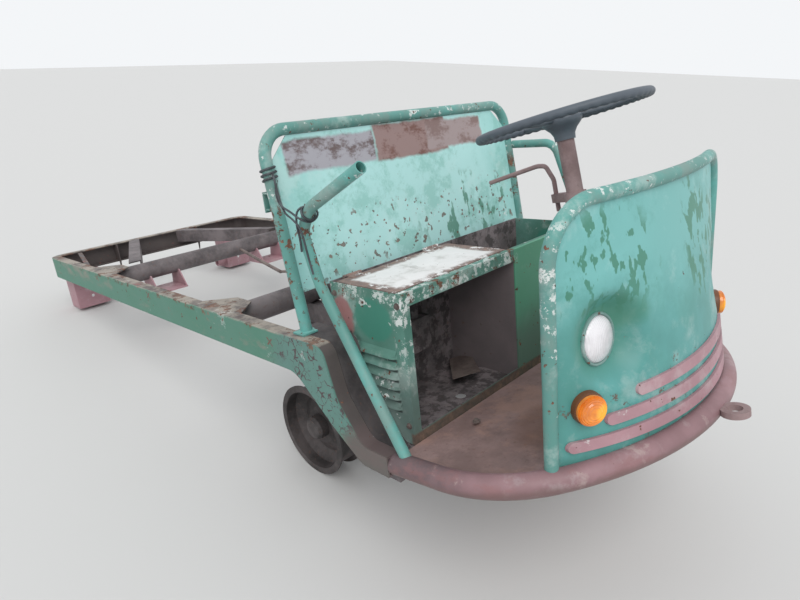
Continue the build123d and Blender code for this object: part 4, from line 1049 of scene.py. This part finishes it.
class TRUCK_OT_box(bpy.types.Operator):
    """Louvre hoods on the seat box's sides, aprons between it and the necks, and two scraps inside"""

    bl_idname = "truck.box"
    bl_label = "Seat box fittings"

    def execute(self, context):
        reach = context.scene.truck_fittings.hood_reach
        apron_middle = 0.5155
        apron_half = 0.0385
        hoods, aprons = [], []
        for side in (-1, 1):
            for row in range(LOUVRE_COUNT):
                top = LOUVRE_TOP - LOUVRE_PITCH * row

                def place(s, t, side=side, top=top):
                    bulge = (1.0 - abs(s) ** 5) ** 0.5
                    fall = (1.0 - t) / 2.0
                    out = BOX_HALF - 0.0015 + reach * math.sin(fall * math.pi / 2.0) * bulge
                    return Vector((LOUVRE_X + s * LOUVRE_HALF, side * out, top - LOUVRE_HEIGHT * fall))

                hoods.append(sheet_metal("hood", 24, 8, place, 0.0016, 0.0))
            path = rounded(
                [
                    (2.268, 0.0, 0.0),
                    (2.440, 0.0, 0.0),
                    (2.476, 0.0, -0.145),
                    (2.556, 0.0, -0.252),
                    (2.612, 0.0, cab_floor(2.612) - 0.010),
                ],
                (0.040, 0.100, 0.030),
                7,
            )

            def place(s, t, side=side, path=path):
                spot = path[round((t + 1.0) / 2.0 * (len(path) - 1))]
                return Vector((spot.x, side * (apron_middle + apron_half * s), spot.z - 0.0005))

            aprons.append(sheet_metal("apron", 2, len(path) - 1, place, 0.003, side))
        fit(welded("louvre_hoods", hoods), finish("box paint"))
        fit(welded("neck_aprons", aprons), finish("grimy plate"))
        litter = []
        # Each scrap: its corners, row by row, and how high it lies
        outlines = (
            (((2.352, -0.003), (2.495, -0.154), (2.386, 0.071), (2.542, -0.071)), 0.006),
            (((2.40, 0.20), (2.49, 0.15), (2.47, 0.31), (2.53, 0.27)), 0.022),
        )
        for corners, lift in outlines:
            scrap = fresh("plane", "scrap", size=1.0)
            for vertex, (x, y) in zip(scrap.data.vertices, corners):
                vertex.co = (x, y, box_bottom(x) + lift)
            modify(scrap, "SOLIDIFY", thickness=0.002, offset=0.0)
            litter.append(scrap)
        fit(welded("box_litter", litter), finish("old steel"))
        return {"FINISHED"}


def ribbed_rim():
    """The steering wheel's rim, with finger ribs on its underside."""
    rim = torus("rim", HELM_RADIUS, HELM_ROD, 4 * HELM_RIBS, 16)
    for vertex in rim.data.vertices:
        place = vertex.co
        turn = math.atan2(place.y, place.x)
        out = Vector((place.x, place.y, 0.0)).length - HELM_RADIUS
        ripple = 0.5 - 0.5 * math.cos(turn * HELM_RIBS)
        lower = smooth_step(-place.z / HELM_ROD + 0.2)
        scale = 1.0 - 0.20 * ripple * lower
        radius = HELM_RADIUS + out * scale
        place.x, place.y, place.z = math.cos(turn) * radius, math.sin(turn) * radius, place.z * scale
    return rim


class TRUCK_OT_helm(bpy.types.Operator):
    """Steering wheel: a ribbed hard rubber rim, slightly bent, on three spokes and a trumpet hub"""

    bl_idname = "truck.helm"
    bl_label = "Steering wheel"

    def execute(self, context):
        lie = Matrix.Translation(HELM_MIDDLE) @ Matrix.Rotation(-HELM_TILT, 4, "Y")
        bend = Matrix.Rotation(-math.radians(1.0), 4, "Y") @ Matrix.Rotation(math.radians(1.6), 4, "X")
        rim = ribbed_rim()
        bake_place(rim, lie @ bend @ Matrix.Translation((0.0, 0.0, -0.0042)))
        parts = [rim]
        profile = (
            (0.0262, -0.060),
            (0.0275, -0.046),
            (0.034, -0.034),
            (0.044, -0.024),
            (0.0505, -0.016),
            (0.0520, -0.008),
            (0.0505, -0.003),
            (0.0440, 0.0),
            (0.0400, -0.0035),
            (0.0290, -0.0045),
            (0.0260, -0.0015),
            (0.0020, -0.0015),
        )
        upright = lie.to_3x3() @ Vector((0, 0, 1))
        parts.append(turned("hub", profile, lie @ Vector((0, 0, -0.002)), upright, 40))
        shaft = fresh("cylinder", "shaft", vertices=24, radius=0.0168, depth=0.062)
        bake_place(shaft, lie @ Matrix.Translation((0.0, 0.0, -0.077)))
        parts.append(shaft)
        for angle in (-90.0, 30.0, 150.0):
            turn = math.radians(angle)
            way = Vector((math.cos(turn), math.sin(turn), 0.0))
            near = lie @ (way * 0.030 + Vector((0, 0, -0.007)))
            far = lie @ bend @ (way * 0.2110 + Vector((0, 0, -0.003)))
            sag = near.lerp(far, 0.5) + Vector((0, 0, -0.004))
            parts.append(tube("spoke", [near, sag, far], 0.0072))
        fit(welded("helm_wheel", parts), rubber(), "helm", ("steering_wheel",), 50.0)
        return {"FINISHED"}


def coiled(start, end, radius, turns, steps=14):
    """A wire's path wound round a straight leg."""
    along = (end - start).normalized()
    side = along.cross(Vector((1.0, 0.0, 0.0))).normalized()
    other = along.cross(side)
    count = int(turns * steps)
    path = []
    for step in range(count + 1):
        turn = 2.0 * math.pi * step / steps
        loose = radius * (1.0 + 0.06 * math.sin(step * 1.7))
        out = (side * math.cos(turn) + other * math.sin(turn)) * loose
        path.append(start.lerp(end, step / count) + out)
    return path


class TRUCK_OT_wiring(bpy.types.Operator):
    """Torn wire wound on the seat back's right leg and the sawn arm, and the tie rod in the deck"""

    bl_idname = "truck.wiring"
    bl_label = "Wire and tie rod"

    def execute(self, context):
        leg = coiled(on_back(-BACK_HALF, 0.424), on_back(-BACK_HALF, 0.462), BACK_ROD + 0.003, 3.0)
        arm = Vector((2.428, -0.566, 0.348))
        loop = [
            leg[0],
            on_back(-BACK_HALF, 0.405, 0.030) + Vector((0.0, -0.012, 0.0)),
            (2.335, -0.586, 0.368),
            (2.392, -0.590, 0.352),
            (2.418, -0.590, 0.338),
            (2.436, -0.566, 0.322),
            (2.448, -0.545, 0.345),
            (2.436, -0.562, 0.368),
            (2.412, -0.588, 0.362),
            (2.404, -0.590, 0.322),
            (2.410, -0.588, 0.285),
            (2.404, -0.586, 0.252),
        ]
        second = [
            on_back(-BACK_HALF, 0.446, 0.018),
            on_back(-BACK_HALF, 0.430, 0.042) + Vector((0.0, -0.014, 0.0)),
            (2.352, -0.590, 0.352),
            (2.400, -0.592, 0.334),
            (2.424, -0.590, 0.308),
            (2.432, -0.588, 0.235),
            (2.438, -0.585, 0.196),
        ]
        parts = [wire("coil", leg, 0.0034), wire("strand", loop, 0.0031), wire("strand", second, 0.0029)]
        ring = torus("turn", 0.0185, 0.0034, 28)
        bake_place(ring, Matrix.Translation(arm) @ Matrix.Rotation(math.radians(62.0), 4, "Y"))
        parts.append(ring)
        fit(welded("torn_wire", parts), finish("wire sheath"), angle=60.0)
        rod = tube("rod", [(0.789, 0.129, -0.057), (1.100, 0.043, -0.060), (1.420, -0.042, -0.062)], 0.008)
        bend = ((1.415, -0.041), (1.436, -0.034), (1.450, -0.018), (1.436, -0.004))
        hook = wire("hook", [(x, y, -0.062) for x, y in bend], 0.006)
        fit(welded("tie_rod", [rod, hook]), finish("old steel"))
        return {"FINISHED"}


def bolt(place, out, radius):
    """A hexagon bolt's head with its washer, standing on a surface."""
    way = Vector(out).normalized()
    wide = radius * 1.5
    washer = turned("washer", ((wide, -0.002), (wide, 0.0016), (radius, 0.0017)), place, way, 20)
    head = turned("head", ((radius, 0.001), (radius, 0.0060), (radius * 0.86, 0.0070)), place, way, 6)
    return [washer, head]


class TRUCK_OT_bolts(bpy.types.Operator):
    """Bolt heads on the seat box and through the cab floor"""

    bl_idname = "truck.bolts"
    bl_label = "Bolts"

    def execute(self, context):
        bolts = []
        for x in (2.352, 2.600):
            for z in (0.098, -0.245):
                bolts += bolt((x, 0.0005 - BOX_HALF, z), (0, -1, 0), 0.0062)
        up = (-math.sin(FLOOR_FALL), 0, 1)
        for x, row in ((3.02, (-0.324, -0.144, 0.144, 0.324)), (2.70, (-0.30, 0.30))):
            for y in row:
                bolts += bolt((x, y, cab_floor(x) + 0.001), up, 0.0075)
        fit(welded("bolt_heads", bolts), finish("old steel"), angle=30.0)
        return {"FINISHED"}


class TRUCK_PG_fittings(bpy.types.PropertyGroup):
    dish_flare: bpy.props.FloatProperty(
        name="Dish flare",
        description="How far a lamp's dish runs out into the shield",
        default=0.056,
        unit="LENGTH",
    )
    hood_reach: bpy.props.FloatProperty(
        name="Hood reach", description="How far the louvres stand off the box", default=0.0150, unit="LENGTH"
    )
    board_foot: bpy.props.FloatProperty(
        name="Board foot", description="Height of the seat back's lower edge", default=0.112, unit="LENGTH"
    )


class TRUCK_PG_stage(bpy.types.PropertyGroup):
    floor: bpy.props.FloatVectorProperty(
        name="Floor", description="Colour of the studio floor", default=(0.60, 0.60, 0.595), subtype="COLOR"
    )
    sky: bpy.props.FloatProperty(name="Sky", description="Strength of the even light", default=0.94)
    sun: bpy.props.FloatProperty(name="Sun", description="Strength of the soft high light", default=1.20)


class TRUCK_OT_finishes(bpy.types.Operator):
    """Paint, rust and scale on every piece of the truck"""

    bl_idname = "truck.finishes"
    bl_label = "Finishes"

    def execute(self, context):
        for name, (_, _, nodes) in FINISHES.items():
            for node in nodes:
                wear(frame["nodes"][node], finish(name))
        return {"FINISHED"}


class TRUCK_OT_stage(bpy.types.Operator):
    """Pale floor, even light with one soft high sun, and the camera"""

    bl_idname = "truck.stage"
    bl_label = "Stage"

    def execute(self, context):
        settings = context.scene.truck_stage
        floor = fresh("plane", "studio_floor", size=60.0)
        cloth = bpy.data.materials.new("studio floor")
        cloth.use_nodes = True
        ports = cloth.node_tree.nodes["Principled BSDF"].inputs
        ports["Base Color"].default_value = (*settings.floor, 1.0)
        ports["Roughness"].default_value = 0.95
        wear(floor, cloth)
        world = bpy.data.worlds.new("studio")
        world.use_nodes = True
        ports = world.node_tree.nodes["Background"].inputs
        ports["Color"].default_value = (0.96, 0.98, 1.0, 1.0)
        ports["Strength"].default_value = settings.sky
        context.scene.world = world
        lamp = bpy.data.lights.new("soft sun", "SUN")
        lamp.energy = settings.sun
        lamp.angle = math.radians(38.0)
        lamp.color = (1.0, 0.975, 0.94)
        holder = bpy.data.objects.new("soft sun", lamp)
        holder.location = (3.0, -2.5, 5.0)
        aim = Vector((0.2, 0.0, 0.4)) - holder.location
        holder.rotation_euler = aim.to_track_quat("-Z", "Y").to_euler()
        context.scene.collection.objects.link(holder)
        lens = bpy.data.cameras.new("camera")
        lens.lens = CAMERA_LENS
        lens.sensor_width = 36.0
        camera = bpy.data.objects.new("camera", lens)
        camera.location = CAMERA_PLACE
        camera.rotation_euler = [math.radians(angle) for angle in CAMERA_TURN]
        context.scene.collection.objects.link(camera)
        context.scene.camera = camera
        context.scene.view_settings.view_transform = "Standard"
        return {"FINISHED"}


class TRUCK_PT_panel(bpy.types.Panel):
    bl_idname = "TRUCK_PT_panel"
    bl_label = "Platform Truck"
    bl_space_type = "VIEW_3D"
    bl_region_type = "UI"
    bl_category = "Truck"

    def draw(self, context):
        for operator in OPERATORS:
            self.layout.operator(operator.bl_idname)
        for name in ("dish_flare", "hood_reach", "board_foot"):
            self.layout.prop(context.scene.truck_fittings, name)
        for name in ("floor", "sky", "sun"):
            self.layout.prop(context.scene.truck_stage, name)


OPERATORS = (
    TRUCK_OT_finishes,
    TRUCK_OT_shield,
    TRUCK_OT_lamps,
    TRUCK_OT_back,
    TRUCK_OT_box,
    TRUCK_OT_helm,
    TRUCK_OT_wiring,
    TRUCK_OT_bolts,
    TRUCK_OT_stage,
)
CLASSES = (TRUCK_PG_fittings, TRUCK_PG_stage, *OPERATORS, TRUCK_PT_panel)


def register():
    for cls in CLASSES:
        bpy.utils.register_class(cls)
    bpy.types.Scene.truck_fittings = bpy.props.PointerProperty(type=TRUCK_PG_fittings)
    bpy.types.Scene.truck_stage = bpy.props.PointerProperty(type=TRUCK_PG_stage)


def unregister():
    del bpy.types.Scene.truck_stage
    del bpy.types.Scene.truck_fittings
    for cls in reversed(CLASSES):
        bpy.utils.unregister_class(cls)


def main():
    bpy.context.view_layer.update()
    register()
    bpy.ops.truck.finishes()
    bpy.ops.truck.shield()
    bpy.ops.truck.lamps()
    bpy.ops.truck.back()
    bpy.ops.truck.box()
    bpy.ops.truck.helm()
    bpy.ops.truck.wiring()
    bpy.ops.truck.bolts()
    bpy.ops.truck.stage()


if __name__ == "__main__":
    main()
